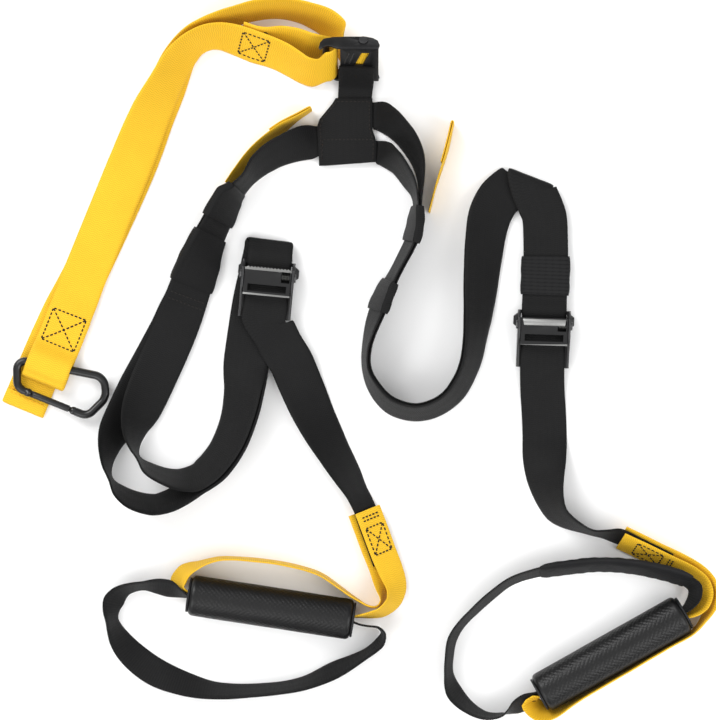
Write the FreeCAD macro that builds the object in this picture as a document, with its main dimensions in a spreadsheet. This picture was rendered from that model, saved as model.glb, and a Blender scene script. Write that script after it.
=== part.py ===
"""Strap suspension trainer laid out flat: webbing, cam buckles, carabiner, grips and cradles."""
import FreeCAD, Part
import math
import os

import Sketcher

Vector = FreeCAD.Vector
Rotation = FreeCAD.Rotation
Placement = FreeCAD.Placement
UP = Vector(0, 0, 1)

doc = FreeCAD.newDocument("SuspensionTrainer")
sheet = doc.addObject("Spreadsheet::Sheet", "Sizes")

SIZES = {
    "shift_right": 1.8, "shift_back": 0.1,
    "wide_webbing": 38.0, "narrow_webbing": 25.0, "webbing_thick": 1.8, "layer_pitch": 2.2,
    "station_step": 11.0, "hem_pitch": 2.0, "bore_width": 15.0,
    "sleeve_wall": 1.3, "sleeve_gap": 0.35,
    "panel_thick": 1.8, "front_panel_low": 4.5,
    "plate_thick": 2.0, "channel_width": 41.0, "frame_front": 22.0, "frame_rear": 27.0,
    "side_high": 13.0, "side_low": 3.0, "bar_width": 3.0, "loop_slot": 4.0, "slot_width": 39.4,
    "wing_width": 52.0, "wing_length": 14.0, "wing_middle": 13.0,
    "pin_diameter": 4.0, "pin_bore": 4.1, "pin_forward": 9.0, "pin_height": 8.4, "pin_head": 7.0,
    "pin_head_thick": 1.4, "cam_side_play": 0.5, "hub_radius": 4.6, "cam_nose": 5.25,
    "lever_reach": 17.0, "lever_thick": 2.2, "lever_height": 11.6, "lever_window": 6.0,
    "comb_teeth": 13, "comb_depth": 1.3, "comb_height": 2.0,
    "spring_wire": 0.8, "spring_radius": 2.9, "spring_pitch": 1.2, "spring_length": 6.0,
    "main_length": 46.0, "main_channel": 39.4, "main_side_high": 13.0, "main_bar": 6.0,
    "main_tilt": 55.0, "main_across": -8.0, "main_along": 250.4, "main_lift": 25.9,
    "left_buckle_across": -81.0, "left_buckle_along": 62.5, "left_buckle_turn": -5.5,
    "left_buckle_lift": 8.8,
    "right_buckle_across": 155.0, "right_buckle_along": 20.5, "right_buckle_turn": -2.0,
    "right_buckle_lift": 6.2,
    "grip_diameter": 34.6, "grip_length": 139.0, "grip_bore": 26.4, "grip_round": 4.0,
    "tube_outer": 26.0, "tube_inner": 21.6, "ring_outer": 29.6, "ring_thick": 2.0,
    "left_grip_across": -77.5, "left_grip_along": -210.5, "left_grip_turn": -8.7,
    "right_grip_across": 212.5, "right_grip_along": -250.0, "right_grip_turn": 29.4,
    "grip_lift": 17.6,
    "carabiner_bar": 7.0, "carabiner_lift": 8.4, "gate_gap": 0.35, "gate_pin_diameter": 2.0,
}
for row, (alias, value) in enumerate(SIZES.items(), start=1):
    sheet.set(f"A{row}", alias)
    sheet.set(f"B{row}", str(value))
    sheet.setAlias(f"B{row}", alias)
doc.recompute()


def size(alias):
    """A driving dimension, read from the sheet."""
    return float(getattr(sheet, alias))


WIDE = size("wide_webbing")
NARROW = size("narrow_webbing")
THICK = size("webbing_thick")
PITCH = size("layer_pitch")
SHIFT = Vector(size("shift_right"), size("shift_back"), 0)
nodes = []


# ---------------------------------------------------------------- webbing

class Section:
    """One cross-section of a strap: its centre, its width vector and its face normal."""

    def __init__(self, centre, across, normal):
        self.centre = centre
        self.across = across
        self.normal = normal

    def corners(self, thick):
        half = self.across * 0.5
        face = self.normal * (thick / 2)
        return [self.centre - half - face, self.centre + half - face,
                self.centre + half + face, self.centre - half + face]

    def moved(self, outward, sideways=0.0):
        """The same section one layer out along its normal, slid sideways along its width."""
        unit = Vector(self.across).normalize()
        centre = self.centre + self.normal * outward + unit * sideways
        return Section(centre, self.across, self.normal)

    def resized(self, width):
        return Section(self.centre, Vector(self.across).normalize() * width, self.normal)


def smooth(stations, step):
    """Points every step or so along a smooth curve through the stations, any number of channels."""
    count = len(stations)
    spans = []
    for one, two in zip(stations, stations[1:]):
        spans.append(max(math.dist(one[:2], two[:2]), 1.0))
    knots = [0.0]
    for span in spans:
        knots.append(knots[-1] + span)
    slopes = []
    for i in range(count):
        low, high = max(i - 1, 0), min(i + 1, count - 1)
        gap = knots[high] - knots[low]
        slopes.append([(b - a) / gap for a, b in zip(stations[low], stations[high])])
    points = []
    for i, span in enumerate(spans):
        pieces = max(1, round(span / step))
        for k in range(pieces):
            u = k / pieces
            h0, h1 = 2 * u**3 - 3 * u**2 + 1, 3 * u**2 - 2 * u**3
            g0, g1 = (u**3 - 2 * u**2 + u) * span, (u**3 - u**2) * span
            points.append([h0 * p + h1 * q + g0 * s + g1 * r for p, q, s, r in
                           zip(stations[i], stations[i + 1], slopes[i], slopes[i + 1])])
    points.append(list(stations[-1]))
    return points


def leg(stations, width, step=None, thick=THICK):
    """Sections of a strap run. A station is across, along, roll in degrees, lift, [width].

    At roll 0 the strap lies flat, at 90 it stands on edge with its left edge up, at 180 it lies
    flat with its other face up. Its low edge is at lift above the floor.
    """
    full = [tuple(s) + (width,) * (5 - len(s)) for s in stations]
    points = smooth(full, step or size("station_step"))
    centres = []
    for x, y, roll, lift, wide in points:
        angle = math.radians(roll)
        height = max(lift, 0) + wide / 2 * abs(math.sin(angle)) + thick / 2 * abs(math.cos(angle))
        centres.append(Vector(x, y, height) + SHIFT)
    sections = []
    for i, (x, y, roll, lift, wide) in enumerate(points):
        ahead = centres[min(i + 1, len(points) - 1)] - centres[max(i - 1, 0)]
        left = Vector(-ahead.y, ahead.x, 0).normalize()
        angle = math.radians(roll)
        across = left * math.cos(angle) + UP * math.sin(angle)
        along = ahead - across * ahead.dot(across)
        normal = along.normalize().cross(across)
        sections.append(Section(centres[i], across * wide, normal))
    return sections


def turn(before, after, crease, steps=6):
    """Sections of a fold that joins two stacked runs: a half circle about the crease line."""
    one, two = before.centre, after.centre
    rise = (two - one) * 0.5
    radius = rise.Length
    across = Vector(crease)
    if across.dot(before.across) < 0:
        across = across * -1
    unit = Vector(across).normalize()
    outward = unit.cross(Vector(rise).normalize())
    heading = before.across.cross(before.normal)
    if outward.dot(heading) < 0:
        outward = outward * -1
    middle = (one + two) * 0.5
    sections = []
    for k in range(1, steps):
        angle = math.pi * k / steps
        offset = Vector(rise).normalize() * (-math.cos(angle) * radius)
        offset += outward * (math.sin(angle) * radius)
        along = Vector(rise).normalize() * math.sin(angle) + outward * math.cos(angle)
        sections.append(Section(middle + offset, across, along.cross(unit)))
    return sections


def skin(one, two, k, faces):
    """Two flat faces between side k of one ring of corners and the next.

    The top and the bottom are split along the same diagonal, so stacked straps stay parallel.
    """
    a, b, c, d = one[k], one[(k + 1) % 4], two[(k + 1) % 4], two[k]
    corners = ((b, c, d), (b, d, a)) if k == 2 else ((a, b, c), (a, c, d))
    for p, q, r in corners:
        faces.append(Part.Face(Part.makePolygon([p, q, r, p])))


def closed_solid(faces):
    solid = Part.Solid(Part.Shell(faces))
    if solid.Volume < 0:
        solid.reverse()
    return solid


def ribbon(sections, thick=THICK, closed=False):
    """A closed solid of flat faces that runs through the sections."""
    rings = [s.corners(thick) for s in sections]
    faces = []
    pairs = list(zip(rings, rings[1:]))
    if closed:
        pairs.append((rings[-1], rings[0]))
    for one, two in pairs:
        for k in range(4):
            skin(one, two, k, faces)
    if not closed:
        for ring in (rings[0], rings[-1]):
            faces.append(Part.Face(Part.makePolygon(ring + [ring[0]])))
    return closed_solid(faces)


def keep(obj, label):
    """Name a sub-part and put it on the list of nodes."""
    obj.Label = label
    nodes.append(obj)
    return obj


def soft(label, shape, placement=None):
    """A sub-part whose shape is made above, as a Part::Feature."""
    obj = doc.addObject("Part::Feature", label)
    obj.Shape = shape
    obj.Placement = placement or Placement()
    return keep(obj, label)


def around(sections, width, thick, wall, gap):
    """A flat sleeve round the strap sections: a tube of rectangular section, open at both ends."""
    outer = [s.resized(width + 2 * (wall + gap)).corners(thick + 2 * (wall + gap))
             for s in sections]
    inner = [s.resized(width + 2 * gap).corners(thick + 2 * gap) for s in sections]
    faces = []
    for k in range(4):
        after = (k + 1) % 4
        for rings in (outer, inner):
            for one, two in zip(rings, rings[1:]):
                skin(one, two, k, faces)
        for end in (0, -1):
            rim = [outer[end][k], outer[end][after], inner[end][after], inner[end][k]]
            faces.append(Part.Face(Part.makePolygon(rim + [rim[0]])))
    return closed_solid(faces)


def seat(place, x, z, width, along):
    """A section in a buckle's own frame: width along its pin, at x, z, travelling along (dx, dz)."""
    centre = place.multVec(Vector(x, 0, z))
    across = place.Rotation.multVec(Vector(0, 1, 0))
    ahead = place.Rotation.multVec(Vector(along[0], 0, along[1])).normalize()
    return Section(centre, across * width, ahead.cross(across))


def between(sections, low, high):
    """The sections of a run whose centres lie between two distances along the layout."""
    return [s for s in sections if low < s.centre.y - SHIFT.y < high]


def hemmed(stations, width, thick, side):
    """A strap whose far end is folded back on itself into a short hem, on the side given."""
    run = leg(stations, width, thick=thick)
    pitch = thick + 0.3
    flap = [s.moved(side * pitch) for s in run[-4:]][::-1]
    for s in flap:
        s.normal = s.normal * -1
    return run + turn(run[-1], flap[0], run[-1].across, 5) + flap


# -- places of the three buckles

main_place = Placement(
    Vector(size("main_across"), size("main_along"), size("main_lift")) + SHIFT,
    Rotation(Vector(1, 0, 0), size("main_tilt")))


def buckle_place(side):
    return Placement(
        Vector(size(f"{side}_buckle_across"), size(f"{side}_buckle_along"),
               size(f"{side}_buckle_lift")) + SHIFT,
        Rotation(UP, size(f"{side}_buckle_turn")))


def in_buckle(place, along, height, width=WIDE):
    """A section square to a cam buckle's length, at a distance along it and a height."""
    centre = place.multVec(Vector(0, along, height))
    across = place.Rotation.multVec(Vector(1, 0, 0))
    ahead = place.Rotation.multVec(Vector(0, -1, 0))
    return Section(centre, across * width, ahead.cross(across))


# -- length tail: under the anchor strap, over the top, into the main buckle

tail_hem = leg([(-285.9, -30.9, 180, size("hem_pitch")), (-290.1, -41, 180, size("hem_pitch"))],
               WIDE, 6)
tail_run = leg([
    (-290.1, -41, 0, 0), (-279, -14, 0, 0), (-267, 14, 0, 0), (-253, 44, 0, 0),
    (-240, 68, 0, 0), (-208.5, 135.5, 2, 0), (-193, 171, 8, 0), (-178, 209, 22, 0),
    (-165.8, 234, 36, 0), (-155.5, 257.5, 47, 0), (-141, 276, 59, 0), (-122, 287.5, 68, 0),
    (-104, 294, 70, 0), (-85, 298.5, 69, 0), (-65, 299, 68, 0), (-46, 294.5, 64, 0),
    (-31, 288, 58, 0), (-21.5, 279, 56, 0.4)], WIDE)
tail_end = [seat(main_place, x, z, WIDE, along) for x, z, along in (
    (-8.5, -17, (0.3, 1)), (-6.5, -11.5, (0.4, 1)), (-3.5, -6.5, (1, 1)), (2, -4.0, (1, 0.3)),
    (10, -3.4, (1, 0)), (18, -3.4, (1, 0)))]
soft("length_tail", ribbon(
    tail_hem + turn(tail_hem[-1], tail_run[0], tail_run[0].across) + tail_run + tail_end))

# -- anchor strap: carabiner loop, long run, loop round the main buckle's bar

anchor_flap = leg([(-250, 38, 180, 2.3), (-258, 18, 180, 2.1), (-265.5, 0, 180, 1.9),
                   (-271.5, -15.5, 180, 1.9)], WIDE)
anchor_run = leg([
    (-271.5, -15.5, 0, 9.7), (-270, -11.8, 0, 13.0), (-265, 1.0, 0, 13.0), (-261, 11, 0, 5.8),
    (-258, 18, 0, 4.7), (-249, 41, 0, 4.7), (-244, 54, 0, 3.2), (-239, 68, 0, 2.7),
    (-211, 136.5, 2, 2.9), (-196, 172, 12, 3.7), (-180, 210, 30, 5.0), (-167, 235, 45, 6.2),
    (-155, 256, 51, 5.2), (-142, 269.5, 60, 4), (-131.5, 274.5, 60, 2.5), (-121, 275.5, 58, 1),
    (-107, 272.5, 52, 0), (-92, 267, 50, 0), (-77, 262, 52, 0), (-66, 257, 54, 0),
    (-57, 251.5, 56, 0.4), (-48.5, 246.5, 57, 1), (-40, 244.3, 56, 2.6)], WIDE, 8)
loop_middle, loop_height, loop_radius = -22.5, -6.5, 9.0
anchor_loop = []
for step in range(9):
    angle = math.radians(90 - 22.5 * step)
    anchor_loop.append(seat(
        main_place, loop_middle + loop_radius * math.cos(angle),
        loop_height + loop_radius * math.sin(angle), WIDE, (math.sin(angle), -math.cos(angle))))
anchor_back = leg([
    (-45, 266.5, 124, 2), (-57, 270, 127, 0.6), (-68, 271.3, 128, 0), (-80, 270.3, 129, 0),
    (-92, 271.3, 130, 0), (-104, 275.3, 130, 0)], WIDE, 8)
soft("anchor_strap", ribbon(
    anchor_flap + turn(anchor_flap[-1], anchor_run[0], anchor_run[0].across, 8) + anchor_run
    + anchor_loop + anchor_back))

# -- left pair: the long strap (upper) and the handle strap (lower)

left_place = buckle_place("left")
right_place = buckle_place("right")
left_long_down = leg([
    (-14, 188, 0, 2.3, 24), (-30, 187.7, 0, 2.3, 25), (-38.5, 187.2, 0, 2.3, 26),
    (-43.5, 186.5, -18, 1.7, 30), (-50, 185, -36, 1.0, 35), (-59, 182, -48, 0.4),
    (-74, 175.5, -55, 0.2), (-88, 165, -63, 0.6), (-97, 154, -74, 2),
    (-104, 146.5, -72, 3.4), (-112, 138, -64, 4.4), (-120, 122.5, -57, 4.4),
    (-131.5, 99.5, -50, 4.4), (-139, 80, -36, 4.7), (-150, 51, -20, 3.3), (-158, 30, -8, 3.4),
    (-167, 8.5, -2, 4.4), (-180, -21, -12, 3.6), (-189, -45, -34, 2.4), (-193.5, -62, -62, 1.2),
    (-193.5, -74, -80, 0.4), (-190.5, -83, -90, 0.2), (-182, -92, -78, 0.2),
    (-169, -98.5, -71, 0.2), (-157, -101.5, -65, 0.2), (-143, -100.6, -54, 0.2),
    (-128, -89.4, -50, 0.6), (-115, -71, -46, 0.8), (-106.4, -48.3, -41, 1.0),
    (-102, -25, -31, 1.6), (-99.6, -2, -7, 2.4), (-95.7, 25, 0, 2.5), (-91.7, 50, 0, 2.5),
    (-85, 80, 0, 2.5), (-82.1, 93, 0, 2.5), (-81.4, 98.5, 0, 2.5)], WIDE)
left_handle_top = [s.moved(-PITCH) for s in between(left_long_down[:40], 44, 139)]
left_handle_down = leg([
    (-156.8, 38.5, -13, 0.6), (-162, 27, -8, 0), (-176.5, 0, -2, 0), (-188.5, -22, -8, 0),
    (-199, -42, -24, 0), (-211, -62, -48, 0), (-215.5, -78, -68, 0), (-216.5, -90, -82, 0),
    (-214, -101, -90, 0),
    (-207, -111, -78, 0), (-195, -119, -69, 0), (-179, -123, -65, 0), (-161, -118.5, -60, 0),
    (-141.3, -104.6, -54, 0), (-125.3, -92.6, -50, 0), (-112, -73.2, -46, 0),
    (-103.2, -49.6, -41, 0), (-98.9, -25.7, -31, 0), (-98.2, -2.3, -7, 0), (-95, 25, 0, 0),
    (-91.3, 50, 0, 0), (-85, 80, 0, 0), (-82.1, 93, 0, 0), (-81.4, 98.5, 0, 0)], WIDE)


def over_the_bar(place, top, returning, approach):
    """A long strap's end: under the buckle's bar, up through its slot and back over itself."""
    under, middle = -size("plate_thick") - 1.4, 19.8
    wrap = [in_buckle(place, top, under - 0.1), in_buckle(place, middle, under)]
    back = []
    for along, height in ((middle, 1.3),) + returning:
        section = in_buckle(place, along, height)
        section.normal = section.normal * -1
        back.append(section)
    return approach + wrap + turn(wrap[-1], back[0], wrap[-1].across, 6) + back


def under_the_cam(place, stations):
    """A handle strap's run through a cam buckle, from (distance along, height) stations."""
    return [in_buckle(place, along, height) for along, height in stations]


left_long_top = leg([(-81.4, 98.5, 180, 4.7), (-81.5, 94, 180, 4.7)], WIDE)
left_long = left_long_down + turn(left_long_down[-1], left_long_top[0], left_long_down[-1].across)
soft("left_long_strap", ribbon(over_the_bar(left_place, 27, ((29, 1.3),), left_long + left_long_top)))

left_cam_run = under_the_cam(left_place, (
    (36.2, 0.0), (31, 2.6), (27, 3.7), (17, 3.7), (12, 1.7), (6, 1.35), (-18, 1.5), (-29, 1.5)))
left_handle_out = leg([
    (-75.6, 25, 180, 9.0), (-69, 12, 180, 8.0), (-61, -1, 180, 7.8), (-52, -22, 172, 2.4),
    (-39.5, -50, 155, 0), (-23.2, -80, 137, 0), (-11.5, -100, 130, 0, 36), (-4, -114, 130, 0.6, 29),
    (1.5, -125, 145, 2.8, 23), (5.1, -135, 153, 2.8, 22), (12, -154, 153, 2.8, 22),
    (19, -173, 153, 2.8, 22)], WIDE)
left_handle = (left_handle_top + left_handle_down
               + turn(left_handle_down[-1], left_cam_run[0], left_handle_down[-1].across, 8)
               + left_cam_run + left_handle_out)
soft("left_handle_strap", ribbon(left_handle))

# -- right pair: the long strap from the yoke's lower band, the handle strap from its upper band

right_handle_down = leg([
    (-6, 209.8, 0, 2.1, 21), (4, 209.8, 0, 2.1, 21), (10.5, 209.8, 0, 2.1, 22),
    (15, 208.6, 22, 2.0, 27),
    (19.5, 206, 44, 1.2, 32), (26, 201, 58, 0.4), (38, 188.5, 64, 0.3), (47, 171.5, 72, 0.3),
    (50, 155, 82, 0.6), (50, 142, 87, 1.4), (48.2, 130.7, 84, 2.3), (46.7, 117.4, 79, 2.5),
    (43.6, 103, 77, 2.5), (36, 86.8, 78, 2.5), (28, 71.7, 78, 2.5), (19.9, 56, 74, 2.5),
    (15.1, 44, 72, 2.5), (9.2, 27.4, 76, 1.2), (5.2, 10, 82, 0.3), (5.2, -7.6, 82, 0.3),
    (12, -23.6, 76, 0.3), (24.6, -37.4, 71, 0.3), (45, -43.5, 69, 0.3), (63.9, -38.9, 68, 0.3),
    (79.1, -26.6, 66, 0.3), (90.8, -3.2, 64, 0.3), (96.2, 25.5, 57, 0), (99.2, 50.4, 46, 0),
    (101.8, 78.3, 36, 0), (105.2, 106.6, 26, 0), (109.4, 124.6, 16, 0), (118.3, 139.8, 6, 0),
    (130, 149, 0, 0)], WIDE)
shared = [i for i, s in enumerate(right_handle_down) if s.centre.y < 134][0]
right_long_down = leg([
    (-6, 180, 0, 2.1, 15), (6, 179.8, 0, 2.1, 16), (13.2, 179.3, 0, 2.1, 17),
    (17.6, 177.2, 26, 2.2, 23),
    (21.5, 174, 52, 1.2, 31), (30, 166.5, 68, 0.4), (39, 153.5, 73, 0.6), (44.5, 142, 82, 1.6)],
    WIDE, 8) + [s.moved(PITCH) for s in right_handle_down[shared:]]


def slanted(x, y, height, crease_turn, width, flip=1):
    """A flat section laid along a crease line."""
    angle = math.radians(crease_turn)
    across = Vector(-math.cos(angle), -math.sin(angle), 0)
    return Section(Vector(x, y, height) + SHIFT, across * width, UP * flip)


CREASE_TURN, CREASE_WIDTH = -21, 41
long_under = slanted(143.5, 153.2, 3.4, CREASE_TURN, CREASE_WIDTH)
long_over = slanted(143.5, 153.2, 5.6, CREASE_TURN, CREASE_WIDTH, -1)
handle_under = slanted(143.5, 153.2, 0.9, CREASE_TURN, CREASE_WIDTH)
handle_over = slanted(143.5, 153.2, 7.9, CREASE_TURN, CREASE_WIDTH, -1)
right_long_top = leg([(149, 140, 180, 4.6), (156, 122, 180, 4.3), (157, 106, 180, 3.2),
                      (157.2, 92, 180, 2.2), (157, 80, 180, 2.1), (156.4, 60, 180, 2.1)], WIDE)
right_long = (right_long_down + [long_under] + turn(long_under, long_over, long_under.across)
              + [long_over] + right_long_top)
right_return = ((23.5, 1.3), (31, -1.1), (58, -1.1))
soft("right_long_strap", ribbon(over_the_bar(right_place, 27, right_return, right_long)))

right_handle_top = leg([(149, 140, 180, 7.0), (156, 122, 180, 6.7), (157, 106, 180, 6.4),
                        (157.2, 94, 180, 6.4), (157.1, 86, 180, 6.4)], WIDE)
right_cam_run = under_the_cam(right_place, (
    (62, 1.1), (32.5, 1.1), (24.5, 3.7), (17, 3.7), (12, 1.7), (6, 1.35), (-18, 1.5), (-29, 1.5)))
right_handle_out = leg([
    (154.2, -20, 180, 4.0), (154.8, -31, 180, 1.4), (155.6, -42, 180, 0.2), (156.5, -67, 180, 0),
    (156, -92, 205, 0), (158, -111, 227, 0), (166, -131, 243, 0), (182, -141.5, 255, 0),
    (195, -146.6, 261, 0.4, 36), (208, -148.5, 252, 1, 30), (218, -150.1, 237, 1.6, 25),
    (235, -157.9, 233, 2.0, 22), (262, -171.2, 233, 2.0, 22)], WIDE)
right_handle = (right_handle_down + [handle_under]
                + turn(handle_under, handle_over, handle_under.across, 8) + [handle_over]
                + right_handle_top + right_cam_run + right_handle_out)
soft("right_handle_strap", ribbon(right_handle))

# -- keeper sleeves round the pairs


def pair_sleeve(label, upper, low, high):
    """A sewn sleeve round both straps of a pair, between two distances along the layout."""
    middle = [s.moved(-PITCH / 2) for s in between(upper[:24], low, high)]
    return soft(label, around(middle, WIDE, PITCH + THICK, size("sleeve_wall"),
                              size("sleeve_gap")))


pair_sleeve("left_upper_keeper", left_long_down, 121, 147)
pair_sleeve("left_lower_keeper", left_long_down, 70, 105)
pair_sleeve("right_upper_keeper", right_long_down, 96, 131)
pair_sleeve("right_lower_keeper", right_long_down, 42, 72)
stack = [right_place.multVec(Vector(0, along, -0.05)) for along in (34, 45, 56, 67)]
patch = [Section(Vector(p.x, p.y, 5.2), in_buckle(right_place, 34, 0).across, UP * -1)
         for p in stack]
soft("right_buckle_sleeve", around(patch, WIDE, 6.8, size("sleeve_wall"), size("sleeve_gap")))

# -- yellow pull tabs

left_tab = hemmed([(-111.5, 148, 61, 0.9), (-96.5, 169.5, 61, 0.9), (-83, 184.5, 65, 0.8),
                   (-67, 198.5, 75, 0.5), (-55, 206.5, 84, 0.3), (-44, 213.3, 88, 0.3)],
                  NARROW, 1.4, -1)
soft("left_pull_tab", ribbon(left_tab, 1.4))
right_tab = hemmed([(57.3, 126, 88, 0.3), (63, 148, 88, 0.3), (72.5, 178, 86, 0.3),
                    (78, 202, 88, 0.3)],
                   NARROW, 1.4, -1)
soft("right_pull_tab", ribbon(right_tab, 1.4))

# -- handle webbing loops and foot cradles, all through the bores of the grips

BORE = size("bore_width")
left_loop = leg([
    (4.6, -127.5, 153, 5.4), (11.6, -146, 153, 5.4), (19, -166, 152, 5.4), (26, -183, 144, 5.2),
    (29.5, -195, 132, 5), (26, -207, 121, 6), (17, -214.5, 114, 7), (7, -217, 108, 8, 22),
    (-2, -218, 100, 8.6, 18), (-10, -218.4, 95, 9.9, BORE), (-77.5, -208.8, 95, 9.9, BORE),
    (-145, -198.6, 95, 9.9, BORE), (-153, -196, 108, 6.5, 21), (-156.8, -189.5, 124, 3),
    (-152, -180.8, 118, 1), (-140, -175, 102, 0), (-121, -169.4, 93, 0), (-87, -171, 92, 0),
    (-59, -175.5, 92, 0), (-36, -182.6, 92, 0), (-22, -191.8, 92, 0), (-11, -199.8, 90, 0),
    (-3, -205, 88, 0), (5, -209.6, 86, 0), (12.6, -210.6, 84, 0), (18.3, -205, 76, 0),
    (19.4, -196.5, 56, 0), (19.2, -187, 36, 0.2), (16.8, -177, 29, 0.4), (9.5, -158, 27, 0.4),
    (-1, -129.5, 27, 0.4)], NARROW, 8)
soft("left_handle_webbing", ribbon(left_loop))
right_loop = leg([
    (222, -148.5, 53, 0), (250, -162.3, 53, 0), (280, -177, 54, 0), (292.5, -186.5, 58, 0),
    (298.5, -197.5, 64, 0), (297.5, -209, 72, 0), (291.5, -221, 84, 0), (281.7, -232.6, 90, 0),
    (259, -245.5, 90, 0), (226.5, -264.8, 90, 0), (193, -284.3, 90, 0), (176, -294, 84, 0),
    (163, -300.3, 71, 0), (151, -300, 54, 0.6), (143.5, -291.5, 44, 4.5, 22),
    (147, -288.4, 64, 8.4, 17), (150.8, -286.8, 84, 9.9, BORE), (156.5, -284.0, 90, 9.9, BORE),
    (213.3, -251.6, 90, 9.9, BORE), (271, -219.1, 92, 9.9, BORE), (280, -214.8, 110, 6.5, 21),
    (288.5, -207.5, 120, 2.4),
    (292, -198, 121, 1.2), (288.8, -189.5, 122, 1.2), (279.5, -182.4, 126, 1.6),
    (264, -175, 127, 2.0), (246, -166.2, 127, 2.0), (220.6, -154.2, 127, 2.0)], NARROW, 8)
soft("right_handle_webbing", ribbon(right_loop))

left_cradle = leg([
    (-77.5, -212.4, 95, 9.9, BORE), (-145, -202, 95, 9.9, BORE), (-153, -199.5, 110, 8, 20),
    (-163, -195.2, 128, 4.5), (-175, -193, 124, 2), (-186, -192.6, 111, 0.4), (-202, -196, 116, 0),
    (-212, -206, 132, 0), (-213.3, -222, 110, 0), (-203, -244, 140, 0), (-182, -263.5, 160, 0),
    (-158, -274.5, 144, 0), (-126, -282, 120, 0), (-87, -281.5, 110, 0), (-52, -276.5, 111, 0),
    (-24, -265, 120, 0), (3.5, -250.5, 104, 0), (15.5, -240.5, 106, 0), (18.2, -233, 98, 1.5),
    (14, -228, 95, 3), (5, -226.6, 95, 5, 23), (-3, -225, 95, 8.4, 17), (-10, -222, 95, 9.9, BORE),
    (-77, -212.5, 95, 9.9, BORE)], NARROW, 8)
soft("left_foot_cradle", ribbon(left_cradle[:-1], closed=True))
right_cradle = leg([
    (211.7, -248.8, 90, 9.9, BORE), (269.3, -216.2, 92, 9.9, BORE), (277, -210.3, 104, 9, 19),
    (283, -202, 113, 6.5, 22), (283.3, -193.5, 115, 5), (275, -187.2, 114, 5), (258, -181.5, 113, 5),
    (232, -176.2, 112, 3.8), (202, -174.3, 112, 3.6), (174, -177, 112, 3.6), (152, -180.5, 112, 3.6),
    (128, -188.3, 110, 1), (111, -200.5, 111, 0), (95.5, -214.5, 110, 0), (84, -226.5, 109, 0),
    (77, -238.5, 111, 0), (74.6, -252, 108, 0), (74, -268, 109, 0), (78.5, -283, 122, 0),
    (91, -296, 112, 0), (106, -303.3, 99, 0), (120, -302.2, 88, 0), (132, -296, 56, 1.6),
    (141.5, -290.2, 50, 5, 23), (149.5, -284.3, 70, 8.5, 17), (155, -280.9, 86, 9.9, BORE),
    (211, -249.2, 90, 9.9, BORE)], NARROW, 8)
soft("right_foot_cradle", ribbon(right_cradle[:-1], closed=True))
pad_part = [s for s in right_cradle
            if s.centre.y > -192.5 and 152 < s.centre.x < 281]
soft("right_cradle_pad", around(pad_part, NARROW, THICK, 2.2, 0.3))


# ---------------------------------------------------------------- sketches and bodies

PLANES = ("XY_Plane", "XZ_Plane", "YZ_Plane")


def new_body(label, place):
    body = doc.addObject("PartDesign::Body", label)
    body.Placement = place
    return body


def new_sketch(body, name, plane, offset=0.0):
    """A sketch on one of the body's own origin planes, moved along its normal by offset."""
    sketch = body.newObject("Sketcher::SketchObject", name)
    support = [f for f in body.Origin.OriginFeatures if f.Role == plane][0]
    sketch.AttachmentSupport = [(support, "")]
    sketch.MapMode = "FlatFace"
    sketch.AttachmentOffset = Placement(Vector(0, 0, offset), Rotation())
    return sketch


def outline(sketch, points):
    """A closed outline of straight lines through the points."""
    corners = [Vector(x, y, 0) for x, y in points]
    for one, two in zip(corners, corners[1:] + corners[:1]):
        sketch.addGeometry(Part.LineSegment(one, two), False)
    count = len(corners)
    for i in range(count):
        sketch.addConstraint(Sketcher.Constraint("Coincident", i, 2, (i + 1) % count, 1))


def rectangle(sketch, left, low, wide, high, wide_cell="", high_cell=""):
    """A rectangle with its width and height held by constraints, bound to cells where named."""
    outline(sketch, [(left, low), (left + wide, low), (left + wide, low + high),
                     (left, low + high)])
    base = sketch.GeometryCount - 4
    for line in (base, base + 2):
        sketch.addConstraint(Sketcher.Constraint("Horizontal", line))
    for line in (base + 1, base + 3):
        sketch.addConstraint(Sketcher.Constraint("Vertical", line))
    sketch.addConstraint(Sketcher.Constraint("DistanceX", base, 1, left))
    sketch.addConstraint(Sketcher.Constraint("DistanceY", base, 1, low))
    across = sketch.addConstraint(Sketcher.Constraint("DistanceX", base, 1, base, 2, wide))
    upward = sketch.addConstraint(Sketcher.Constraint("DistanceY", base + 1, 1, base + 1, 2, high))
    if wide_cell:
        sketch.setExpression(f"Constraints[{across}]", wide_cell)
    if high_cell:
        sketch.setExpression(f"Constraints[{upward}]", high_cell)


def pad(body, sketch, length, cell="", middle=False, reverse=False):
    feature = body.newObject("PartDesign::Pad", sketch.Name + "Pad")
    feature.Profile = sketch
    feature.Length = length
    feature.Midplane = middle
    feature.Reversed = reverse
    if cell:
        feature.setExpression("Length", cell)
    doc.recompute()
    return feature


def pocket(body, sketch, length, middle=False, reverse=False):
    """A cut that is checked to have taken material away."""
    before = body.Shape.Volume
    feature = body.newObject("PartDesign::Pocket", sketch.Name + "Pocket")
    feature.Profile = sketch
    feature.Length = length
    feature.Midplane = middle
    feature.Reversed = reverse
    doc.recompute()
    if not body.Shape.Volume < before - 0.01:
        raise RuntimeError(f"{feature.Name} cuts nothing")
    return feature


def panel(label, points, low, thick_cell):
    """A sewn panel: an outline padded up from its underside."""
    body = new_body(label, Placement(Vector(SHIFT.x, SHIFT.y, low), Rotation()))
    sketch = new_sketch(body, label + "_outline", "XY_Plane")
    outline(sketch, points)
    pad(body, sketch, size(thick_cell), f"Sizes.{thick_cell}")
    return keep(body, label)


# -- yoke

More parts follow.
